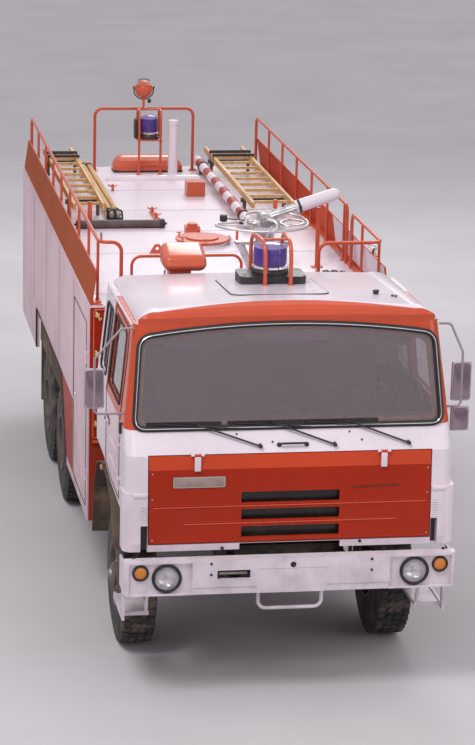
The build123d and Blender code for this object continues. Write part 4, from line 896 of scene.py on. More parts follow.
# axle: (station, tyres' places from the middle plane)
wheel_places = {"front": (1.400, (1.010,)), "middle": (5.100, (0.722, 1.052)),
                "rear": (6.420, (0.722, 1.052))}
for axle, (y, offsets) in wheel_places.items():
    for side, label in SIDES:
        pair = []
        for i, x in enumerate(offsets):
            turn = Matrix.Rotation(0.6 * i + 0.3 * (side > 0), 4, "X")
            pair.append(copied(tyre, "t", Matrix.Translation(spot((side * x, y, AXLE_HIGH))) @ turn))
        fitted = dress(join(f"treaded_tyre_{axle}_{label}", pair), tyre_rubber,
                       f"wheel_{axle}_{label}")
        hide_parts(f"tyre_{axle}_{label}")
across_cab = Matrix.Translation(spot((0.700, 2.225, 2.215))) @ Matrix.Rotation(pi / 2, 4, "Z")
spare = copied(tyre, "treaded_spare_tyre", across_cab)
dress(spare, tyre_rubber, "chassis")
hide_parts("spare_tyre")
bpy.data.objects.remove(tyre)

# %% [markdown]
# Wheel nuts.
# Ten nuts hold each rim, and eight small bolts the cover on its hub. Both stand on circles
# about the axle; the rear wheels' discs lie deeper than the front ones'.

# %% Wheel nuts
def on_circle(x, y, r, count):
    """Places round an axle, on a circle of the radius."""
    turns = [2 * pi * i / count for i in range(count)]
    return [(x, y + r * cos(a), AXLE_HIGH + r * sin(a)) for a in turns]


for axle, (y, _) in wheel_places.items():
    front = axle == "front"
    nut_x, nut_r, cap_x, cap_r = (1.108, 0.111, 1.174, 0.055) if front else (0.906, 0.150, 0.996, 0.062)
    for side, label in SIDES:
        out = (side, 0, 0)
        nuts = bolts("nut", on_circle(side * nut_x, y, nut_r, 10), out, 0.0135, 0.022)
        small = bolts("cap_bolt", on_circle(side * cap_x, y, cap_r, 8), out, 0.007, 0.006)
        dress(join(f"wheel_nuts_{axle}_{label}", [nuts, small]), pin_metal, f"wheel_{axle}_{label}")
print("wheels dressed")

# %% [markdown]
# The cab's front.
# White covers hide the flap's hinges, a bare plate takes the badge's place, and a grab
# handle, bolts and louvres are pressed or screwed on.

# %% Flap fittings
covers = []
for x in (-0.700, 0.700):
    covers.append(block("cover", (x - 0.0235, 0.1262, 1.757), (x + 0.0235, 0.1465, 1.866), 0.005, 3))
dress(join("flap_hinge_covers", covers), cover_paint, "front_flap")


def flap_face(x, z, out=0.0):
    """Point on the flap's outer face."""
    y = 0.110 + (z - 1.210) * 0.035 / 0.570
    return Vector((x, y - out, z + out * 0.06))


badge_outline = [flap_face(u, v, -0.001) for u, v in rounded_rectangle(-0.881, -0.491, 1.632, 1.714, 0.012)]
badge = plate("bare_badge_plate", badge_outline, (0, -0.008, 0), 0.002)
dress(badge, pin_metal, "front_flap")
inner_outline = [flap_face(u, v, 0.006) for u, v in rounded_rectangle(-0.872, -0.500, 1.641, 1.705, 0.008)]
dress(plate("badge_field", inner_outline, (0, -0.0035, 0), 0.001), plate_paint, "front_flap")
trim_line = bar("flap_trim_line", [flap_face(0.461, 1.606, 0.002), flap_face(0.62, 1.612, 0.002),
                                   flap_face(0.82, 1.617, 0.002)], 0.009)
dress(trim_line, trim_paint, "front_flap")
# The ribs carry the lighter red as a painted highlight along each pressing.
ribs = [bar("rib", [flap_face(x0, z, 0.001), flap_face(x1, z + 0.003, 0.001)], 0.011) for x0, x1, z in (
    (-1.030, 1.035, 1.483), (-0.800, 0.800, 1.354))]
dress(join("flap_ribs", ribs), flap_highlight_paint, "front_flap")
fixings = [flap_face(x, z) for x in (-1.035, 1.035) for z in (1.24, 1.55, 1.74)]
dress(bolts("flap_screws", fixings, FORWARD, 0.006, 0.004, 8), pin_metal, "front_flap")

# %% [markdown]
# Cowl, fairings and roof.
# The belt under the screen slopes, so one function gives its points and all its fittings
# stand square on it. Louvres are small blocks in a row. The roof plate is bisected into
# strips first, so that it can lie on the roof's curve.

# %% Cowl fittings
COWL_OUT = (0, -0.834, 0.552)     # square out of the sloping belt


def cowl(x, z, out=0.0):
    """Point on the white belt under the screen."""
    y = 0.150 + (z - 1.874) * 0.110 / 0.166
    return Vector((x, y - 0.834 * out, z + 0.552 * out))


handle = bar("cowl_handle", [cowl(-0.088, 1.93, -0.004), cowl(-0.088, 1.93, 0.030), cowl(0.119, 1.93, 0.030),
                             cowl(0.119, 1.93, -0.004)], 0.017, corner=0.014, sides=12)
feet = bolts("handle_foot", [cowl(-0.088, 1.93), cowl(0.119, 1.93)], COWL_OUT, 0.018, 0.005, 16)
dress(join("cowl_handle", [handle, feet]), plastic, "cab")
cowl_bolts = [cowl(-0.136, 1.95), cowl(0.539, 1.951)]
dress(bolts("cowl_bolts", cowl_bolts, COWL_OUT, 0.008, 0.006, 10), plastic, "cab")
nozzles = bolts("washer_nozzles", [cowl(-0.40, 2.005), cowl(0.45, 2.005)], COWL_OUT, 0.007, 0.008, 10)
dress(nozzles, plastic, "cab")

# %% Fairings with louvres
louvres, ledges = [], []
for side in (-1, 1):
    for i in range(8):
        z = 1.360 + 0.019 * i
        louvres.append(block("louvre", (side * 1.073, 0.1165, z), (side * 1.118, 0.124, z + 0.007), 0.002, 1))
    ledges.append(block("ledge", (side * 1.070, 0.114, 1.566), (side * 1.176, 0.135, 1.600), 0.009, 3))
dress(join("fairing_louvres", louvres), cab_paint, "cab")
dress(join("fairing_ledges", ledges), white_paint, "cab")

# %% Roof fittings
def roof_top(x, y):
    """Height of the cab's roof, found by looking straight down on it."""
    _, place, _, _ = nodes["cab_roof"].ray_cast(Vector((x + MIDDLE, FRONT + y, 4)), Vector((0, 0, -1)))
    return place.z


outline = [(u, v, 0) for u, v in rounded_rectangle(-0.358, 0.388, 0.815, 1.66, 0.085, 8)]
roof_plate = plate("roof_plate", outline, (0, 0, 0.006), 0.0)
only(roof_plate)
bpy.ops.object.mode_set(mode="EDIT")
for i in range(1, 12):
    bpy.ops.mesh.select_all(action="SELECT")
    bpy.ops.mesh.bisect(plane_co=(-0.358 + 0.746 * i / 12, 0, 0), plane_no=(1, 0, 0))
for i in range(1, 6):
    bpy.ops.mesh.select_all(action="SELECT")
    bpy.ops.mesh.bisect(plane_co=(0, FRONT + (0.815 + 0.845 * i / 6), 0), plane_no=(0, 1, 0))
bpy.ops.object.mode_set(mode="OBJECT")
front_z, rear_z = roof_top(0, 0.82), roof_top(0, 1.65)
fall = (roof_top(0, 1.2) - roof_top(0.38, 1.2)) / 0.38 ** 2


def roof_skin(x, y):
    """The roof's even curve under the plate."""
    return front_z + (rear_z - front_z) * (y - 0.82) / 0.83 - fall * x * x


for v in roof_plate.data.vertices:
    v.co.z += roof_skin(v.co.x, v.co.y - FRONT) + 0.001
dress(smooth(roof_plate), roof_paint, "cab")
rim = rounded_rectangle(-0.362, 0.392, 0.811, 1.664, 0.088, 8)
rim_path = [(u, v, roof_skin(u, v) + 0.003) for u, v in rim]
dress(bar("roof_plate_seal", rim_path, 0.007, closed=True), rubber, "cab")
screw_places = ((0.30, 1.00), (0.31, 1.17), (0.36, 0.88), (-0.33, 0.88), (-0.33, 1.25), (0.36, 1.45))
screws = [(x, y, roof_skin(x, y) + 0.006) for x, y in screw_places]
dress(bolts("roof_plate_screws", screws, UP, 0.008, 0.005, 8), pin_metal, "cab")
vents = []
for x, y, r, h in ((0.767, 0.925, 0.026, 0.035), (0.880, 0.852, 0.012, 0.014), (0.905, 0.846, 0.012, 0.014)):
    rings = [(-0.004, r * 0.8), (h * 0.5, r * 0.8), (h * 0.55, r), (h * 0.9, r * 0.95), (h, r * 0.6)]
    vents.append(turned("vent", rings, (x, y, roof_top(x, y)), UP, 20))
dress(join("roof_vents", vents), plastic, "cab")
print("cab front and roof dressed")

# %% [markdown]
# Mirrors.
# The CAD gives the tube arms and the housings. Each housing gets a bright pressed back, a
# glass and a rolled rim, all from one rounded outline.

# %% Mirrors
shells, glasses, rims = [], [], []
# middle across, low, high, half width, front, rear
for x, z0, z1, half, y0, y1 in ((-1.440, 2.18, 2.48, 0.075, 0.390, 0.432),
                                (1.330, 2.18, 2.48, 0.075, 0.390, 0.432),
                                (1.330, 1.945, 2.134, 0.070, 0.390, 0.426)):
    box_of = (x - half + 0.012, x + half - 0.012, z0 + 0.012, z1 - 0.012, 0.022)
    face = rounded_rectangle(*box_of)
    shells.append(plate("shell", [(u, y0 + 0.003, v) for u, v in face], (0, -0.007, 0), 0.003))
    glasses.append(plate("glass", [(u, y1 - 0.002, v) for u, v in face], (0, 0.005, 0), 0.001))
    loop = rounded_rectangle(x - half + 0.006, x + half - 0.006, z0 + 0.006, z1 - 0.006, 0.024)
    rims.append(bar("rim", [(u, y0 + 0.001, v) for u, v in loop], 0.009, closed=True))
dress(join("mirror_shells", shells), mirror_glass, "cab")
dress(join("mirror_glasses", glasses), bright_metal, "cab")
dress(join("mirror_rims", rims), arm_paint, "cab")
print("mirrors ready")

# %% [markdown]
# Bumper.
# The pressed bumper is bolted on from the front, has a hole for the starting handle and a
# slot with a folded lip, behind which lies the bar for the tow hook.

# %% Bumper fittings
heads = [(x, 0.0, z) for x in (-0.605, 0.605) for z in (0.999, 1.083)]
marks = bolts("bumper_bolts", heads, FORWARD, 0.010, 0.006, 12)
hole = turned("hole_edge", [(-0.012, 0.0175), (0.002, 0.0215), (0.003, 0.019), (-0.010, 0.0135)],
              (0.010, 0.0, 1.060), FORWARD, 24, closed=True)
dress(join("bumper_bolts", [marks, hole]), plastic, "chassis")
slot = [(u, 0.0, v) for u, v in rounded_rectangle(-0.562, -0.308, 0.958, 1.032, 0.012)]
dress(bar("slot_lip", slot, 0.006, closed=True), white_paint, "chassis")
hook_bar = bar("tow_hook_bar", [(-0.54, 0.045, 0.994), (-0.33, 0.045, 0.994)], 0.030, sides=16)
dress(hook_bar, steel_metal, "chassis")
apron_bolts = bolts("apron_bolts", [(-0.51, 0.112, 1.165), (0.53, 0.118, 1.190),
                                    (-1.17, 0.10, 1.113), (1.17, 0.10, 1.113)], FORWARD, 0.013, 0.010, 12)
dress(apron_bolts, plastic, "cab")
print("bumper dressed")

# %% [markdown]
# Upholstery.
# Foam under stretched cloth bulges between its seams. Each cushion starts as a rounded
# block, is remeshed evenly, blown up a little by a cloth simulation with its swelling
# capped, and subdivided. Sewn channels are pressed in afterwards, because the remesh
# would erase them.

# %% Cushion
def upholstered(name, low, high, face, across, seams, voxel=0.013, cap=0.012):
    """Crowned cushion; face is the axis it shows, across the axis that its seams divide."""
    slim = [v + cap * 0.9 for v in low], [v - cap * 0.9 for v in high]
    pad = block(name, *slim, edge=0.028, steps=3)
    even = pad.modifiers.new("even", "REMESH")
    even.mode, even.voxel_size = "VOXEL", voxel
    bpy.ops.object.modifier_apply(modifier="even")
    before = [v.co.copy() for v in pad.data.vertices]
    puff = pad.modifiers.new("puff", "CLOTH")
    puff.settings.use_pressure = True
    puff.settings.uniform_pressure_force = 4
    puff.settings.effector_weights.gravity = 0
    for step in range(1, 21):
        bpy.context.scene.frame_set(step)
    bpy.ops.object.modifier_apply(modifier="puff")
    bpy.context.scene.frame_set(1)
    for v, start in zip(pad.data.vertices, before):
        way = v.co - start
        if way.length > cap:
            v.co = start + way * (cap / way.length)
    finer = pad.modifiers.new("finer", "SUBSURF")
    finer.levels = finer.render_levels = 1
    bpy.ops.object.modifier_apply(modifier="finer")
    axis, side = "XYZ".index(face[1]), "XYZ".index(across)
    way = 1 if face[0] == "+" else -1
    for v in pad.data.vertices:
        if v.normal[axis] * way > 0.55:
            near = min(abs(v.co[side] - seam) for seam in seams)
            v.co[axis] -= way * 0.009 * max(0.0, 1 - (near / 0.016) ** 2)
    dress(smooth(pad, 80), seat_cloth, "cab")
    return pad


# %% Seats and bench
for x, label in ((0.640, "left"), (-0.640, "right")):
    upholstered(f"seat_cushion_{label}", (x - 0.25, 0.88, 1.700),
                            (x + 0.25, 1.36, 1.840), "+Z", "X", (x - 0.15, x - 0.05, x + 0.05, x + 0.15))
    upholstered(f"seat_back_{label}", (x - 0.24, 1.362, 1.710),
                            (x + 0.24, 1.450, 2.380), "-Y", "Z", (1.86, 1.98, 2.10, 2.22))
upholstered("bench_cushion", (-1.05, 1.56, 1.720), (1.05, 1.878, 1.840), "+Z", "X",
                        (-0.70, -0.35, 0, 0.35, 0.70), 0.02)
upholstered("bench_back", (-1.05, 1.882, 1.740), (1.05, 1.958, 2.300), "-Y", "Z",
                        (1.90, 2.06, 2.20), 0.02)
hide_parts("seats")
boxes = []
for x in (-0.640, 0.640):
    boxes.append(block("box", (x - 0.16, 0.95, 1.520), (x + 0.16, 1.30, 1.66), 0.010, 3))
    for i in range(3):
        z = 1.662 + 0.012 * i
        inset = 0.15 - 0.01 * (i % 2)
        boxes.append(block("bellows", (x - inset, 0.96, z), (x + 0.15, 1.29, z + 0.011), 0.004))
    boxes.append(bar("slide", [(x - 0.17, 0.93, 1.525), (x - 0.17, 1.32, 1.525)], 0.018))
boxes.append(block("bench_box", (-1.0, 1.60, 1.640), (1.0, 1.90, 1.719), 0.008, 2))
dress(join("seat_boxes", boxes), dash_plastic, "cab")

# %% [markdown]
# Inside the cab.
# Through the glass one sees the painted inner frame of the screen, sun visors, the dials
# and the switches. The frame is one bar round the opening, set behind the glass.

# %% Inner trim and dials
inner = bar("screen_inner_frame", screen_path(-0.024, -0.055), 0.058, corner=0.08, closed=True, sides=8)
dress(inner, inner_paint, "cab")
visors = []
for x in (-0.62, 0.62):
    visors.append(block("visor", (x - 0.30, 0.475, 2.600), (x + 0.30, 0.492, 2.735), 0.007, 3))
    visors.append(bar("visor_rod", [(x - 0.32, 0.484, 2.738), (x + 0.32, 0.484, 2.738)], 0.010))
dress(join("sun_visors", visors), seat_cloth, "cab")
dials, pointers = [], []
# across, height, radius
for x, z, r in ((0.50, 1.985, 0.045), (0.62, 1.990, 0.055), (0.74, 1.985, 0.045),
                (0.42, 1.965, 0.024), (0.36, 1.965, 0.024)):
    rings = [(-0.004, r), (0.010, r), (0.014, r * 0.93), (0.008, r * 0.86), (0.006, r * 0.2)]
    dials.append(turned("dial", rings, (x, 0.636, z - 0.02), (0, 0.94, 0.34), 28))
    tip = (x + r * 0.5, 0.647, z + r * 0.5 - 0.02)
    pointers.append(bar("pointer", [(x, 0.645, z - 0.018), tip], 0.004))
dress(join("dials", dials), plastic, "cab")
dress(join("dial_pointers", pointers), amber_lens, "cab")
lever = bar("gear_lever", [(0.22, 0.98, 1.640), (0.22, 0.95, 1.80), (0.24, 0.90, 1.99)], 0.016)
knob = turned("knob", [(-0.022, 0.012), (-0.012, 0.024), (0.008, 0.028), (0.024, 0.020), (0.028, 0.004)],
              (0.24, 0.898, 2.00), (0.1, -0.2, 1), 20)
boot = turned("boot", [(0, 0.075), (0.012, 0.070), (0.016, 0.052), (0.030, 0.050), (0.034, 0.036),
                       (0.05, 0.034), (0.054, 0.018)], (0.22, 0.98, 1.640), UP, 24)
dress(join("gear_lever", [lever, knob, boot]), rubber, "cab")
print("cab inside dressed")

# %% [markdown]
# Doors.
# A pressed seam follows each door's outline, a rain gutter runs over it, and the handle
# has its lock button.

# %% Door seams, gutters and locks
for side, label in SIDES:
    outline = [(0.552, 1.43), (1.098, 1.445), (1.388, 1.492), (1.388, 2.045), (1.388, 2.727), (0.608, 2.727),
               (0.552, 2.56), (0.552, 2.045)]
    path = [(side * (cab_half(z) + 0.0005), y, z) for y, z in outline]
    dress(bar(f"door_seam_{label}", path, 0.008, closed=True), rubber, f"door_{label}")
    gutter = [(side * (cab_half(2.775) + 0.004), y, 2.785 - 0.022 * (y - 0.5)) for y in (0.50, 1.2, 1.93)]
    dress(bar(f"rain_gutter_{label}", gutter, 0.016), white_paint, "cab")
    lock = turned("lock", [(0, 0.014), (0.006, 0.014), (0.009, 0.010), (0.0095, 0.002)],
                  (side * 1.246, 1.30, 1.852), (side, 0, 0), 16)
    x = side * 1.232
    cup = block("cup", (x - 0.004, 1.175, 1.826), (x + 0.004, 1.325, 1.880), 0.0035, 3)
    dress(join(f"door_lock_{label}", [lock, cup]), plastic, f"door_{label}")
    x = side * 1.234
    leaves = [block("leaf", (x - 0.004, 0.545, z - 0.03), (x + 0.004, 0.60, z + 0.03),
                    0.003) for z in (1.56, 1.90)]
    dress(join(f"door_hinge_leaves_{label}", leaves), white_paint, f"door_{label}")
    x = side * 1.2305
    ribs = [bar("rib", [(x, 0.64, z), (x, 1.16, z)], 0.008) for z in (1.60, 1.75)]
    dress(join(f"door_pressings_{label}", ribs), white_paint, f"door_{label}")
print("doors dressed")

# %% [markdown]
# Superstructure sides.
# The side is sheet on a frame, so it shows rivet rows, cover strips over the joints,
# flush handles on the lockers and a rubber edge over the wheels.

# %% Rivets, strips and handles
rivet_rows = []
for side in (-1, 1):
    for z in (2.36, 1.40):
        rivet_rows += [(side * 1.2505, 3.70 + 0.16 * i, z) for i in range(30)]
    for y in (3.66, 8.53):
        rivet_rows += [(side * 1.2505, y, 1.42 + 0.14 * i) for i in range(7)]
left = bolts("rivet", [p for p in rivet_rows if p[0] > 0], (1, 0, 0), 0.0065, 0.003, 6)
right = bolts("rivet", [p for p in rivet_rows if p[0] < 0], (-1, 0, 0), 0.0065, 0.003, 6)
dress(join("side_rivets", [left, right]), body_paint, "chassis")
strips = []
for side in (-1, 1):
    x = side * 1.2515
    for y in (3.64, 4.86, 6.08, 7.30):
        strips.append(block("strip", (x, y - 0.02, 1.37), (x + side * 0.003, y + 0.02, 2.435), 0.0012, 1))
    strips.append(block("top_strip", (x, 2.49, 2.435), (x + side * 0.004, 8.56, 2.455), 0.0015, 1))
dress(join("side_cover_strips", strips), body_paint, "chassis")
for side, label in SIDES:
    x = side * SIDE
    plate_of = block("plate", (x - 0.004, 3.40, 1.36), (x + 0.004, 3.52, 1.48), 0.003, 3)
    grip = bar("grip", [(x + side * 0.004, 3.42, 1.42), (x + side * 0.016, 3.43, 1.42),
                        (x + side * 0.016, 3.49, 1.42), (x + side * 0.004, 3.50, 1.42)], 0.010, 0.006)
    dress(join(f"locker_handle_{label}", [plate_of, grip]), bright_metal, f"locker_{label}")
    seam = [(x + side * 0.0005, y, z) for y, z in corners(2.60, 3.56, 0.72, 2.28)]
    seal = bar(f"locker_seal_{label}", seam, 0.008, 0.02, closed=True)
    dress(seal, rubber, f"locker_{label}")
    trim = [(side * 1.2515, y, z) for y, z in ((4.10, 0.645), (4.58, 1.352), (7.01, 1.352), (7.01, 0.96))]
    dress(bar(f"arch_edge_{label}", trim, 0.016, 0.03), rubber, "chassis")
rear_grip = bar("rear_grip", [(-0.20, 8.571, 1.50), (-0.20, 8.588, 1.50), (0.20, 8.588, 1.50),
                              (0.20, 8.571, 1.50)], 0.014, 0.012)
seam = [(x, 8.5705, z) for x, z in corners(-0.875, 0.875, 1.425, 2.30)]
dress(rear_grip, bright_metal, "pump_door")
dress(bar("pump_door_seal", seam, 0.008, 0.02, closed=True), rubber, "pump_door")
latches = [block("latch", (x - 0.03, 8.566, 1.47), (x + 0.03, 8.577, 1.53), 0.004, 3) for x in (-0.7, 0.7)]
dress(join("pump_door_latches", latches), plastic, "pump_door")
print("sides dressed")

# %% [markdown]
# Behind the cab.
# The front wall of the superstructure has a framed upper panel, small pale hooks, and a
# ledge at its foot.

# %% Front wall
panel = [(x, 2.4785, z) for x, z in corners(-1.205, -1.035, 1.34, 2.42)]
window = [(x, 2.4775, z) for x, z in corners(-1.121, -1.045, 2.333, 2.395)]
frames = [bar("panel_frame", panel, 0.016, 0.02, closed=True),
          bar("window_frame", window, 0.012, 0.006, closed=True),
          block("ledge", (-1.21, 2.455, 1.300), (-1.00, 2.482, 1.320), 0.005)]
mirrored = [copied(piece, "frame", MIRROR) for piece in frames]
dress(join("front_wall_frames", frames + mirrored), fitting_paint, "chassis")
tabs = []
for z in (2.365, 2.041, 1.447):
    tabs.append(bar("hook", [(-1.192, 2.470, z + 0.040), (-1.176, 2.450, z + 0.018),
                             (-1.160, 2.452, z - 0.030), (-1.148, 2.466, z - 0.012)], 0.015, 0.01))
    tabs.append(turned("head", [(-0.012, 0.020), (0.002, 0.020), (0.006, 0.012), (0.007, 0.001)],
                       (-1.178, 2.468, z + 0.010), FORWARD, 12))
dress(join("wall_hooks", tabs), yellow_paint, "chassis")
hoses = [bar("line", [(x, 2.30, 1.18), (x, 2.40, 1.50), (x + 0.02, 2.455, 1.90),
                      (x + 0.02, 2.465, 2.30)], 0.024, 0.12) for x in (-0.30, -0.24, 0.10)]
dress(join("wall_lines", hoses), rubber, "chassis")
print("front wall dressed")

# %% [markdown]
# Roof.
# Sheets of the deck overlap in low seams. Rails stand on small round feet, ladders and
# poles lie under dark rollers and clamps, and the suction pipe has rings and caps.

# %% Deck seams and rail feet
seams = []
for y in (2.88, 4.42, 5.34, 6.30, 7.30, 7.80):
    seams.append(block("seam", (-1.215, y - 0.016, 2.4565), (1.215, y + 0.016, 2.4605), 0.0018, 1))
dress(join("deck_seams", seams), white_paint, "chassis")
post_front, post_rear = 2.52, 8.54
posts = [post_front + (post_rear - post_front) * i / 8 for i in range(9)] + [post_front + 0.09]
rings = [(0, 0.036), (0.006, 0.036), (0.009, 0.030), (0.010, 0.019), (0.030, 0.017)]
feet = [turned("foot", rings, (x, y, DECK), UP, 16) for x in (-1.165, 1.165) for y in posts]
rings = [(0, 0.042), (0.006, 0.042), (0.010, 0.034), (0.011, 0.020), (0.034, 0.018)]
hoop_feet = [(x, 8.350) for x in (-0.540, 0.470)] + [(x, 2.520) for x in (-0.900, 0.000, -0.985, 0.640)]
feet += [turned("foot", rings, (x, y, DECK), UP, 16) for x, y in hoop_feet]
dress(join("rail_feet", feet), fitting_paint, "chassis")
tube = [(x, 7.86, z) for x, z in ((-0.46, 2.440), (-0.42, 2.454), (0.43, 2.454), (0.47, 2.440))]
dress(bar("deck_cross_tube", tube, 0.095, sides=24), white_paint, "chassis")
stakes = [block("stake", (x - 0.020, 5.538, 2.455), (x + 0.020, 5.562, 2.70), 0.006) for x in (-0.90, 0.83)]
dress(join("ladder_stakes", stakes), fitting_paint, "chassis")
foot_strips = []
for side in (-1, 1):
    foot_strips.append(block("foot_strip", (side * 1.165, 2.49, 2.4575), (side * 1.222, 8.56, 2.475), 0.004))
dress(join("board_foot_strips", foot_strips), fitting_paint, "chassis")
caps = [bar("cap", [(x, 2.485, 2.742), (x, 8.565, 2.742)], 0.014) for x in (-1.190, 1.190)]
dress(join("board_top_edges", caps), fitting_paint, "chassis")

# %% Rollers, clamps and the pipe's rings
def collar(name, half, inner, outer, place, direction, sides):
    """Plain ring of a square section; half is half its length."""
    section = [(-half, inner), (-half, outer), (half, outer), (half, inner)]
    return turned(name, section, place, direction, sides, closed=True)


dark = []
for x0, x1 in ((-1.06, -0.74), (0.61, 1.04)):
    long = x1 - x0
    for y in (8.13, 7.93):
        rings = [(0, 0.006), (0.001, 0.014), (0.05, 0.016), (long - 0.05, 0.016),
                 (long - 0.001, 0.014), (long, 0.006)]
        dark.append(turned("roller", rings, (x0, y, 2.690), (1, 0, 0), 14))
        for x in (x0 + 0.012, x1 - 0.012):
            low, high = (x - 0.006, y - 0.012, 2.575), (x + 0.006, y + 0.012, 2.695)
            dark.append(block("bracket", low, high, 0.003, 1))
for x in (-0.67, -0.61):
    for y in (5.93, 8.24):
        dark.append(collar("clamp", 0.018, 0.0255, 0.033, (x, y, 2.530), (0, 1, 0), 20))
for y in (5.62, 8.08):
    dark.append(collar("clamp", 0.016, 0.0485, 0.056, (0.545, y, 2.540), (0, 1, 0), 28))
dress(join("rollers_and_clamps", dark), plastic, "chassis")
rings_of_end = [(-0.002, 0.0245), (0.0, 0.024), (0.006, 0.020), (0.010, 0.010), (0.0105, 0.001)]
pole_ends = [turned("end", rings_of_end, (x, y, 2.530), (0, way, 0), 16)
             for x in (-0.67, -0.61) for y, way in ((5.752, -1), (8.398, 1))]
dress(join("pole_ends", pole_ends), steel_metal, "chassis")
rings = [collar("ring", 0.016, 0.0385, 0.045, (x, 5.50, 2.4953), (1, 0, 0), 28) for x in (-1.005, -0.24)]
for x, way in ((-1.010, -1), (-0.230, 1)):
    rings.append(turned("cap", [(-0.004, 0.037), (0.012, 0.040), (0.020, 0.034), (0.022, 0.012),
                                (0.040, 0.010), (0.042, 0.002)], (x, 5.50, 2.4953), (way, 0, 0), 24))
dress(join("pipe_couplings", rings), plastic, "chassis")
tread = [(x, 5.75 + 0.29 * i, 2.670) for x in (-1.035, -0.765, 0.635, 1.015) for i in range(10)]
dress(bolts("ladder_rivets", tread, UP, 0.006, 0.003, 6), pin_metal, "chassis")
strap = [(x, 5.775, z) for x, z in ((-0.71, 2.49), (-0.705, 2.560), (-0.67, 2.575),
                                    (-0.61, 2.575), (-0.575, 2.560), (-0.57, 2.49))]
holder = [block("holder", (-0.715, 5.755, 2.458), (-0.565, 5.800, 2.500), 0.006),
          block("holder", (-0.648, 5.740, 2.480), (-0.632, 5.815, 2.585), 0.004),
          bar("strap", strap, 0.020, 0.02)]
dress(join("pole_holder", holder), plastic, "chassis")
print("roof load dressed")

# %% Small roof fittings
def wing_nut(place, size=1.0):
    """Nut with two wings on a stud."""
    x, y, z = place
    rings = [(0, 0.010 * size), (0.05 * size, 0.010 * size), (0.052 * size, 0.006 * size)]
    stud = turned("stud", rings, place, UP, 12)
    wings = [bar("wing", [(x, y, z + 0.03 * size), (x + s * 0.035 * size, y, z + 0.045 * size)], 0.012 * size)
             for s in (-1, 1)]
    return [stud] + wings


lugs = []
for x, y in ((-0.25, 5.62), (-0.24, 5.86), (-0.24, 6.14), (-0.48, 7.28)):
    lugs += wing_nut((x, y, 2.458), 1.3)
for angle in range(0, 360, 60):
    x, y = 0.03 + 0.222 * cos(radians(angle + 30)), 4.80 + 0.222 * sin(radians(angle + 30))
    if x < 0.20:
        lugs += wing_nut((x, y, 2.508), 0.7)
dress(join("wing_nuts", lugs), fitting_paint, "chassis")
rings = [(0, 0.016), (0.004, 0.016), (0.006, 0.009), (0.07, 0.009), (0.074, 0.006)]
studs = [turned("stud", rings, (x, y, DECK), UP, 12) for x, y in ((-0.86, 4.98), (-0.50, 3.42), (0.62, 4.62))]
dress(join("deck_studs", studs), steel_metal, "chassis")
vent_rim = turned("vent_collar", [(0, 0.0485), (0, 0.054), (0.03, 0.054), (0.03, 0.0485)],
                  (0.21, 7.95, 3.005), UP, 28, closed=True)
skirt = turned("vent_skirt", [(0, 0.0485), (0.0, 0.080), (0.012, 0.076), (0.03, 0.052), (0.05, 0.0485)],
               (0.21, 7.95, 2.472), UP, 28, closed=True)
dress(join("vent_rings", [vent_rim, skirt]), white_paint, "chassis")
gasket = [(x, y, 2.464) for x, y in corners(-0.345, 0.355, 8.255, 8.495)]
dress(bar("hatch_gasket", gasket, 0.016, 0.02, closed=True), rubber, "rear_hatch")
hatch_grip = bar("hatch_grip", [(-0.08, 8.262, 2.53), (-0.08, 8.240, 2.53), (0.09, 8.240, 2.53),
                                (0.09, 8.262, 2.53)], 0.012, 0.01)
dress(hatch_grip, fitting_paint, "rear_hatch")
print("small roof fittings ready")

# %% [markdown]
# Chrome lamp on the left front corner of the deck, on a red bracket.

# %% Corner lamp
here = (1.225, 3.066, 2.765)
shade = turned("shade", [(0.0, 0.030), (0.010, 0.052), (0.024, 0.056), (0.034, 0.050), (0.044, 0.030),
                         (0.048, 0.004)], here, UP, 32)
neck = turned("neck", [(0, 0.020), (0.03, 0.017), (0.05, 0.022)], (1.225, 3.066, 2.715), UP, 20)
dress(join("corner_lamp", [shade, neck]), bright_metal, "chassis")
bracket = block("bracket", (1.190, 3.03, 2.700), (1.262, 3.10, 2.716), 0.004, 2)
strut = bar("strut", [(1.195, 3.066, 2.69), (1.225, 3.066, 2.708)], 0.02)
dress(join("corner_lamp_bracket", [bracket, strut]), fitting_paint, "chassis")

# %% [markdown]
# Lamps on the roof.
# The search lamp is a ball of two halves with a groove between them, on a stem between two
# hoops. A beacon is four turned pieces one over the other, whose rings are given as
# parts of its height and of its radius.

# %% Search lamp
LAMP = (-0.060, 8.225, 3.318)
below, above = ([(0.090 * sin(radians(a)), 0.090 * cos(radians(a))) for a in turns]
                for turns in (range(-84, 14, 12), range(24, 85, 12)))
rings = below + [(0.022, 0.0905), (0.024, 0.086), (0.028, 0.086), (0.030, 0.0895)] + above
shell = turned("shell", rings, LAMP, (0, 0.25, 1), 36)
stem = turned("stem", [(-0.205, 0.024), (-0.190, 0.026), (-0.185, 0.013), (-0.11, 0.013), (-0.105, 0.022),
                       (-0.085, 0.026)], LAMP, UP, 20)
hoops = [bar("tie", [(-0.110, 8.225, 3.110), (0.110, 8.225, 3.110)], 0.018, sides=12),
         block("shelf", (-0.130, 8.120, 2.800), (0.130, 8.325, 2.8145), 0.004, 2)]
for x in (-0.110, 0.110):
    hoops.append(bar("hoop", [(x, 8.140, DECK), (x, 8.140, 3.110), (x, 8.310, 3.110),
                              (x, 8.310, 2.806)], 0.024, 0.10, sides=12))
    hoops.append(turned("foot", [(0, 0.030), (0.006, 0.030), (0.009, 0.024), (0.010, 0.013), (0.026, 0.012)],
                        (x, 8.140, DECK), UP, 16))
shell = dress(join("search_lamp_shell", [shell, stem] + hoops), fitting_paint, "chassis")
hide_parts("search_lamp")
x, y, z = LAMP
fork = ((-0.098, 0.02), (-0.098, -0.05), (-0.04, -0.100), (0.04, -0.100), (0.098, -0.05), (0.098, 0.02))
yoke = bar("yoke", [(x + u, y, z + v) for u, v in fork], 0.012, 0.03)
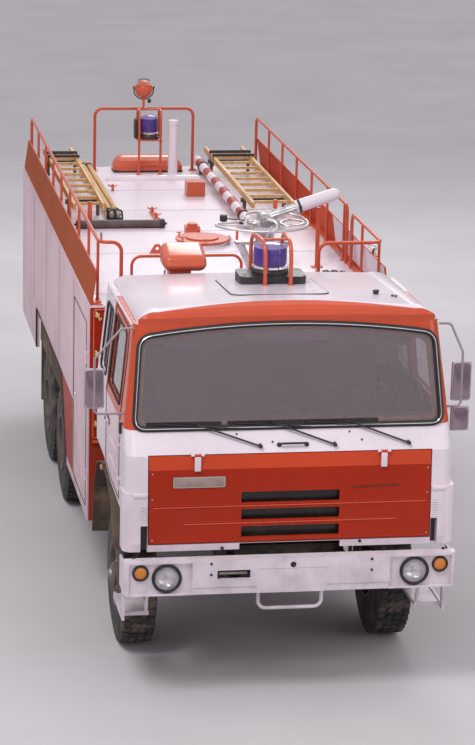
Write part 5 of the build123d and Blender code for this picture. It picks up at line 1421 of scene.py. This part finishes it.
bow = ((-0.05, 0.075), (-0.05, 0.103), (0.05, 0.103), (0.05, 0.075))
grip = bar("grip", [(x + u, y, z + v) for u, v in bow], 0.009, 0.015)
knob = turned("knob", [(-0.016, 0.012), (-0.010, 0.021), (0.012, 0.021), (0.018, 0.012)],
              (x + 0.055, y - 0.02, z - 0.118), (1, 0, 0), 20)
ears = [bolts("ear", [(x + side * 0.100, y, z + 0.018)], (side, 0, 0), 0.014, 0.009, 12) for side in (-1, 1)]
dress(join("search_lamp_yoke", [yoke, grip, knob] + ears), plastic, "chassis")
print("search lamp ready")

# %% Beacons
def beacon(name, place, r, high, body, replaced):
    """Warning beacon: black foot, bright ring, violet dome, and a cap of paler violet as a painted highlight
    on its top.
    """
    def layer(label, parts, material, closed=False):
        rings = [((high - place[2]) * up, r * out) for up, out in parts]
        piece = dress(turned(label, rings, place, UP, 40, closed), material, body)
        piece.name = f"{name}_{label}"
        return piece

    layer("foot", [(0, 1.04), (0.10, 1.04), (0.16, 0.96), (0.22, 0.90)], plastic)
    layer("ring", [(0.20, 0.93), (0.20, 1.03), (0.27, 1.03), (0.29, 0.97), (0.29, 0.93)],
          bright_metal, closed=True)
    dome = layer("dome", [(0.22, 0.93), (0.60, 0.94), (0.78, 0.93), (0.86, 0.89)], blue_lens)
    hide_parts(replaced)
    layer("cap", [(0.855, 0.90), (0.90, 0.84), (0.96, 0.62), (0.995, 0.25), (1, 0.02)], cap_highlight_lens)


beacon("roof_beacon_lamp", (0.040, 1.450, 2.947), 0.138, 3.187, "cab", "roof_beacon")
beacon("rear_beacon_lamp", (0, 8.230, 2.815), 0.094, 3.055, "chassis", "rear_beacon")
housing = [block("base", (-0.096, 8.156, 2.816), (0.096, 8.294, 2.838), 0.006, 2),
           block("side", (-0.150, 8.175, 2.830), (-0.124, 8.290, 3.010), 0.005, 2),
           block("arm", (-0.150, 8.200, 2.816), (-0.090, 8.260, 2.832), 0.004, 2)]
dress(join("rear_beacon_housing", housing), plastic, "chassis")
print("lamps on the roof ready")

# %% [markdown]
# Beacon guard.
# Two bent tubes cross over the roof beacon, tied by a short bar, each leg on a round foot.

# %% Guard hoops
guard = []
for front_x, rear_x in ((-0.035, -0.075), (0.165, 0.170)):
    low = [roof_top(front_x, 1.235) - 0.004, roof_top(rear_x, 1.665) - 0.004]
    guard.append(bar("hoop", [(front_x, 1.235, low[0]), (front_x, 1.235, 3.226),
                              (rear_x, 1.665, 3.226), (rear_x, 1.665, low[1])], 0.032, 0.14, sides=12))
    for x, y, z in ((front_x, 1.235, low[0]), (rear_x, 1.665, low[1])):
        guard.append(turned("foot", [(0, 0.034), (0.009, 0.034), (0.013, 0.027), (0.014, 0.017),
                                     (0.03, 0.016)], (x, y, z), UP, 20))
guard.append(bar("tie", [(-0.043, 1.370, 3.224), (0.165, 1.370, 3.224)], 0.024, sides=12))
guard = dress(join("beacon_guard_hoops", guard), fitting_paint, "cab")
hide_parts("beacon_guard")
print("guard", len(guard.data.polygons), "faces")

# %% [markdown]
# Water monitor.
# Its head turns on the deck pedestal. Water comes up the middle, parts into two elbows
# and meets again in the barrel's pivot. A bent tube frame serves as handlebar. The
# barrel is a pipe with flanges in a white sleeve.

# %% Monitor head
PIVOT_HIGH = 2.900     # height of the barrel's axle


def at(u, v, z):
    """Place at a height, measured across and along from the pedestal's axis."""
    return 0.400 + u, 3.770 + v, z


head = [turned("column", [(2.726, 0.084), (2.730, 0.096), (2.744, 0.096), (2.748, 0.078), (2.790, 0.072),
                          (2.793, 0.090), (2.808, 0.090), (2.812, 0.068), (2.840, 0.066), (2.862, 0.050),
                          (2.870, 0.030)], at(0, 0, 0), UP, 36)]
for side in (-1, 1):
    head.append(bar("elbow", [at(0.0, side * 0.05, 2.780), at(0.0, side * 0.150, 2.800),
                              at(0.10, side * 0.158, 2.824), at(0.10, side * 0.10, 2.880),
                              at(0.0, side * 0.072, 2.900)], 0.052, 0.05, sides=16))
    head.append(bar("side_pipe", [at(-0.10, side * 0.150, 2.822),
                                  at(0.16, side * 0.150, 2.822)], 0.044, sides=16))
    for u in (-0.10, 0.04, 0.15):
        head.append(collar("collar", 0.010, 0.0225, 0.034, at(u, side * 0.150, 2.822), (1, 0, 0), 20))
    head.append(block("cheek", at(-0.045, side * 0.065 - 0.009, 2.822),
                      at(0.045, side * 0.065 + 0.009, 2.944), 0.008, 3))
    head.append(turned("boss", [(0, 0.032), (0.012, 0.032), (0.016, 0.020), (0.026, 0.018), (0.028, 0.004)],
                       at(0, side * 0.074, PIVOT_HIGH), (0, side, 0), 24))
head.append(bolts("flange_bolt", [at(0.082 * cos(a * pi / 4), 0.082 * sin(a * pi / 4), 2.744)
                                  for a in range(8)], UP, 0.008, 0.008))
valves = ((-0.10, -0.150, 2.892), (0.04, 0.150, 2.900))
valve = [bar("stem", [at(u, v, 2.822), at(u, v, z)], 0.014) for u, v, z in valves]
for u, v, z in valves:
    rim = [at(u + 0.045 * cos(a * pi / 8), v + 0.045 * sin(a * pi / 8), z) for a in range(16)]
    valve.append(bar("valve_wheel", rim, 0.010, closed=True))
    for a in (0, pi / 2):
        du, dv = 0.043 * cos(a), 0.043 * sin(a)
        valve.append(bar("spoke", [at(u - du, v - dv, z), at(u + du, v + dv, z)], 0.007))
frame_of = [at(-0.420, -0.02, 2.835), at(-0.36, -0.13, 2.834), at(-0.18, -0.24, 2.832),
            at(0.02, -0.29, 2.832), at(0.20, -0.26, 2.834), at(0.345, -0.16, 2.838), at(0.405, 0.02, 2.850),
            at(0.35, 0.17, 2.880), at(0.15, 0.24, 2.900), at(-0.06, 0.24, 2.900), at(-0.14, 0.18, 2.890),
            at(-0.15, 0.09, 2.862), at(-0.26, 0.05, 2.846), at(-0.40, 0.06, 2.837)]
head.append(bar("handlebar", frame_of, 0.021, 0.08, closed=True, sides=12))
head.append(bar("inner_loop", [at(0.18, -0.10, 2.842), at(0.34, -0.06, 2.848), at(0.36, 0.05, 2.860),
                               at(0.22, 0.10, 2.862), at(0.14, 0.02, 2.850)], 0.015, 0.05, closed=True))
for u0, v0, z0, u1, v1, z1 in ((0, -0.06, 2.826, 0.0, -0.285, 2.832), (-0.07, 0, 2.828, -0.405, 0.0, 2.836),
                               (0.07, 0, 2.828, 0.40, 0.0, 2.850), (0.0, 0.07, 2.840, 0.0, 0.24, 2.900)):
    head.append(bar("brace", [at(u0, v0, z0), at(u1, v1, z1)], 0.016))
head += valve
head = dress(join("monitor_head_pipes", head), cast_metal, "monitor_head")
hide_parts("monitor_head")
knob = [bar("rod", [at(-0.15, 0.07, 2.864), at(-0.31, 0.11, 2.872)], 0.012),
        turned("knob", [(-0.030, 0.024), (-0.026, 0.032), (0.020, 0.033), (0.028, 0.027), (0.030, 0.004)],
               at(-0.33, 0.115, 2.876), UP, 24)]
dress(join("monitor_knob", knob), plastic, "monitor_head")

# %% Monitor barrel
PIVOT = at(0, 0, PIVOT_HIGH)
rise = radians(17.9)
aim = (cos(rise), 0, sin(rise))


def on_barrel(far, v):
    """Place at a distance along the barrel from its axle."""
    return at(far * aim[0], v, PIVOT_HIGH + far * aim[2])


pipe = [turned("pipe", [(0.015, 0.030), (0.020, 0.036), (0.095, 0.035), (0.097, 0.049), (0.112, 0.049),
                        (0.114, 0.035), (0.200, 0.034), (0.202, 0.045), (0.216, 0.045), (0.218, 0.034),
                        (0.300, 0.034)], PIVOT, aim, 32),
        turned("hub", [(-0.049, 0.030), (-0.045, 0.042), (0.045, 0.042),
                       (0.049, 0.030)], PIVOT, (0, 1, 0), 28)]
for v in (-0.048, 0.048):
    pipe.append(bar("stay", [on_barrel(0.04, v * 0.8), on_barrel(0.10, v), on_barrel(0.29, v)], 0.014, 0.03))
pipe = dress(join("monitor_barrel_pipe", pipe), cast_metal, "monitor_barrel")
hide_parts("monitor_barrel")
sleeve = turned("monitor_sleeve", [(0.292, 0.036), (0.292, 0.050), (0.300, 0.056), (0.600, 0.0555),
                                   (0.640, 0.052), (0.672, 0.043), (0.690, 0.030), (0.690, 0.024),
                                   (0.660, 0.022), (0.60, 0.020)], PIVOT, aim, 40)
dress(sleeve, white_paint, "monitor_barrel")
section = [(0.315, 0.0562), (0.315, 0.060), (0.335, 0.060), (0.335, 0.0562)]
band = turned("band", section, PIVOT, aim, 40, closed=True)
u = 0.325 * aim[0]
clip = block("clip", at(u - 0.012, -0.072, 2.985), at(u + 0.012, -0.052, 3.012), 0.003)
dress(join("sleeve_band", [band, clip]), plastic, "monitor_barrel")
print("monitor", len(head.data.polygons), "faces")

# %% [markdown]
# Rear hatch.
# A pressed lid: an upright rim with round corners, from which the top rises to the rear.
# Its outline is pushed up, and then the top face is raised and drawn in again and again,
# about a point near its rear edge.

# %% Rear hatch lid
outline = [(u, v, 2.474) for u, v in rounded_rectangle(-0.349, 0.359, 8.251, 8.499, 0.055, 6)]
lid = plate("rear_hatch_lid", outline, (0, 0, 0.044), 0.0)
# rise, draw across, draw along
for push, draw, drawn in ((0.016, 0.975, 0.93), (0.034, 0.95, 0.80),
                          (0.028, 0.92, 0.66), (0.010, 0.86, 0.60)):
    top = max(v.co.z for v in lid.data.vertices)
    pick(lid, lambda place: place.z > top - 0.0005)
    bpy.ops.mesh.extrude_region_move(TRANSFORM_OT_translate={"value": (0, 0, push)})
    bpy.ops.transform.resize(value=(draw, drawn, 1), center_override=(0.005, FRONT + 8.47, top + push))
    bpy.ops.object.mode_set(mode="OBJECT")
lid = dress(smooth(outwards(lid), 50), fitting_paint, "rear_hatch")
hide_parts("rear_hatch")
print("lid tops out at", round(max(v.co.z for v in lid.data.vertices), 3))

# %% [markdown]
# Wipers.
# Each blade is a steel back with a rubber lip, held by a saddle at its middle.

# %% Wiper blades
blades, backs = [], []
# outer end (across, height), inner end (across, height)
for x0, z0, x1, z1 in ((-1.030, 2.086, -0.340, 2.040), (-0.470, 2.084, 0.190, 2.042),
                       (0.080, 2.084, 0.655, 2.040)):
    x, z = (x0 + x1) / 2, (z0 + z1) / 2
    blades.append(bar("lip", [on_screen(x0, z0, 0.020), on_screen(x1, z1, 0.020)], 0.006))
    backs.append(bar("back", [on_screen(x0 + 0.03, z0 + 0.002, 0.024), on_screen(x, z + 0.003, 0.030),
                              on_screen(x1 - 0.03, z1 + 0.002, 0.024)], 0.006, 0.1))
    middle = on_screen(x, z + 0.002, 0.030)
    backs.append(block("saddle", [c - 0.009 for c in middle], [c + 0.009 for c in middle], 0.003))
dress(join("wiper_lips", blades), rubber, "cab")
dress(join("wiper_backs", backs), plastic, "cab")
feet = [block("arm_foot", (x - 0.012, 0.425, 1.97), (x + 0.012, 0.455, 2.055), 0.006)
        for x in (-1.238, 1.238)]
dress(join("mirror_arm_feet", feet), plastic, "cab")

# %% [markdown]
# Hub caps.
# A domed cover closes each hub. It is turned from rings that shrink towards its middle.

# %% Hub caps
for axle, (y, _) in wheel_places.items():
    reach, r = (1.175, 0.046) if axle == "front" else (0.997, 0.052)
    rings = [(-0.004, r), (0.004, r), (0.016, r * 0.88), (0.026, r * 0.60), (0.030, r * 0.15)]
    for side, label in SIDES:
        cap = turned("hub_cap", rings, (side * reach, y, AXLE_HIGH), (side, 0, 0), 28)
        dress(cap, steel_metal, f"wheel_{axle}_{label}").name = f"hub_cap_{axle}_{label}"
print("hub caps ready")

# %% [markdown]
# Air intake behind the cab.
# Its pressed hood has soft corners and dips to the front, on a square duct that two
# stays hold. A block with a wide bevel gives the corners, and then the front half of its
# top is lowered.

# %% Air intake
hood = block("hood", (-0.700, 2.060, 2.815), (-0.350, 2.370, 3.005), 0.060, 6)
pick(hood, lambda place: place.z > 2.91 and place.y < FRONT + 2.20)
bpy.ops.transform.translate(value=(0, 0.012, -0.058))
bpy.ops.object.mode_set(mode="OBJECT")
duct = block("duct", (-0.640, 2.130, 1.200), (-0.470, 2.330, 2.850), 0.012, 2)
stays = [block("stay", (-0.600, 2.329, z), (-0.510, 2.480, z + 0.060), 0.003, 2)
         for z in (1.500, 2.200)]
intake = dress(join("air_intake", [hood, duct] + stays), fitting_paint, "chassis")
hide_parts("intake_snorkel")
print("intake", len(intake.data.polygons), "faces")

# %% [markdown]
# The studio: a pale floor, soft lamps, a sky that is paler higher up, and the
# photograph's view. The camera's place, turn and lens were solved from the truck's own
# measures.

# %% Floor
bpy.ops.object.select_all(action="DESELECT")
bpy.ops.mesh.primitive_plane_add(size=90, location=(0, 8, 0))
floor = settle(bpy.context.object)
floor.name = "studio_floor"
made, tree, shader = new_material("floor_paper", roughness=0.85)
paper = mixed(tree, ranged(tree, noise(tree, 0.6, 3), 0.3, 0.7), (0.50, 0.48, 0.50, 1), (0.55, 0.53, 0.55, 1))
tree.links.new(paper, shader.inputs["Base Color"])
floor.data.materials.append(made)
floor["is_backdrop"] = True

# %% Lamps and world
def lamp(name, place, aim, size, power):
    """Round soft lamp turned to the point that it aims at."""
    data = bpy.data.lights.new(name, "AREA")
    data.shape, data.size, data.energy = "DISK", size, power
    light = bpy.data.objects.new(name, data)
    bpy.context.scene.collection.objects.link(light)
    light.location = place
    light.rotation_euler = (Vector(aim) - Vector(place)).to_track_quat("-Z", "Y").to_euler()


lamp("key", (-6.0, -9.5, 14.0), (0, -2, 1.4), 5.0, 1150)
lamp("fill", (9.0, -10.0, 5.0), (0, -1, 1.4), 6.0, 200)
lamp("back", (3.0, 12.0, 10.0), (0, 1, 2), 6.0, 600)
world = bpy.context.scene.world or bpy.data.worlds.new("studio")
bpy.context.scene.world = world
world.use_nodes = True
sky = world.node_tree.nodes["Background"]
sky_tree = world.node_tree
heights = wire(sky_tree, "SeparateXYZ", {0: wire(sky_tree, "TexCoord", out=0)}, out=2)
dome = mixed(sky_tree, ranged(sky_tree, heights, -0.02, 0.45), (0.46, 0.43, 0.46, 1), (1.0, 0.97, 1.0, 1))
sky_tree.links.new(dome, sky.inputs["Color"])
sky.inputs["Strength"].default_value = 0.78

# %% Camera
CAMERA_AT = (MIDDLE - 3.6026, -22.5821, 7.4638)
YAW, PITCH, ROLL = radians(9.798), radians(14.865), radians(1.39)
FOCAL_PIXELS, IMAGE_HIGH, SENSOR_HIGH = 2653.2, 745, 24
ahead = Vector((sin(YAW) * cos(PITCH), cos(YAW) * cos(PITCH), -sin(PITCH)))
level = Vector((cos(YAW), -sin(YAW), 0))
upright = level.cross(ahead)
across = cos(ROLL) * level + sin(ROLL) * upright
upward = -sin(ROLL) * level + cos(ROLL) * upright
lens_data = bpy.data.cameras.new("photo_view")
lens_data.sensor_fit = "VERTICAL"
lens_data.sensor_height = SENSOR_HIGH
lens_data.lens = FOCAL_PIXELS / IMAGE_HIGH * SENSOR_HIGH
camera = bpy.data.objects.new("photo_view", lens_data)
bpy.context.scene.collection.objects.link(camera)
camera.matrix_world = Matrix((
    (across.x, upward.x, -ahead.x, CAMERA_AT[0]),
    (across.y, upward.y, -ahead.y, CAMERA_AT[1]),
    (across.z, upward.z, -ahead.z, CAMERA_AT[2]),
    (0, 0, 0, 1)))
bpy.context.scene.camera = camera
bpy.context.scene.view_settings.view_transform = "Standard"

# %% Size and finish
low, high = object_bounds()
print("visual box", [round(v, 3) for v in low], [round(v, 3) for v in high])
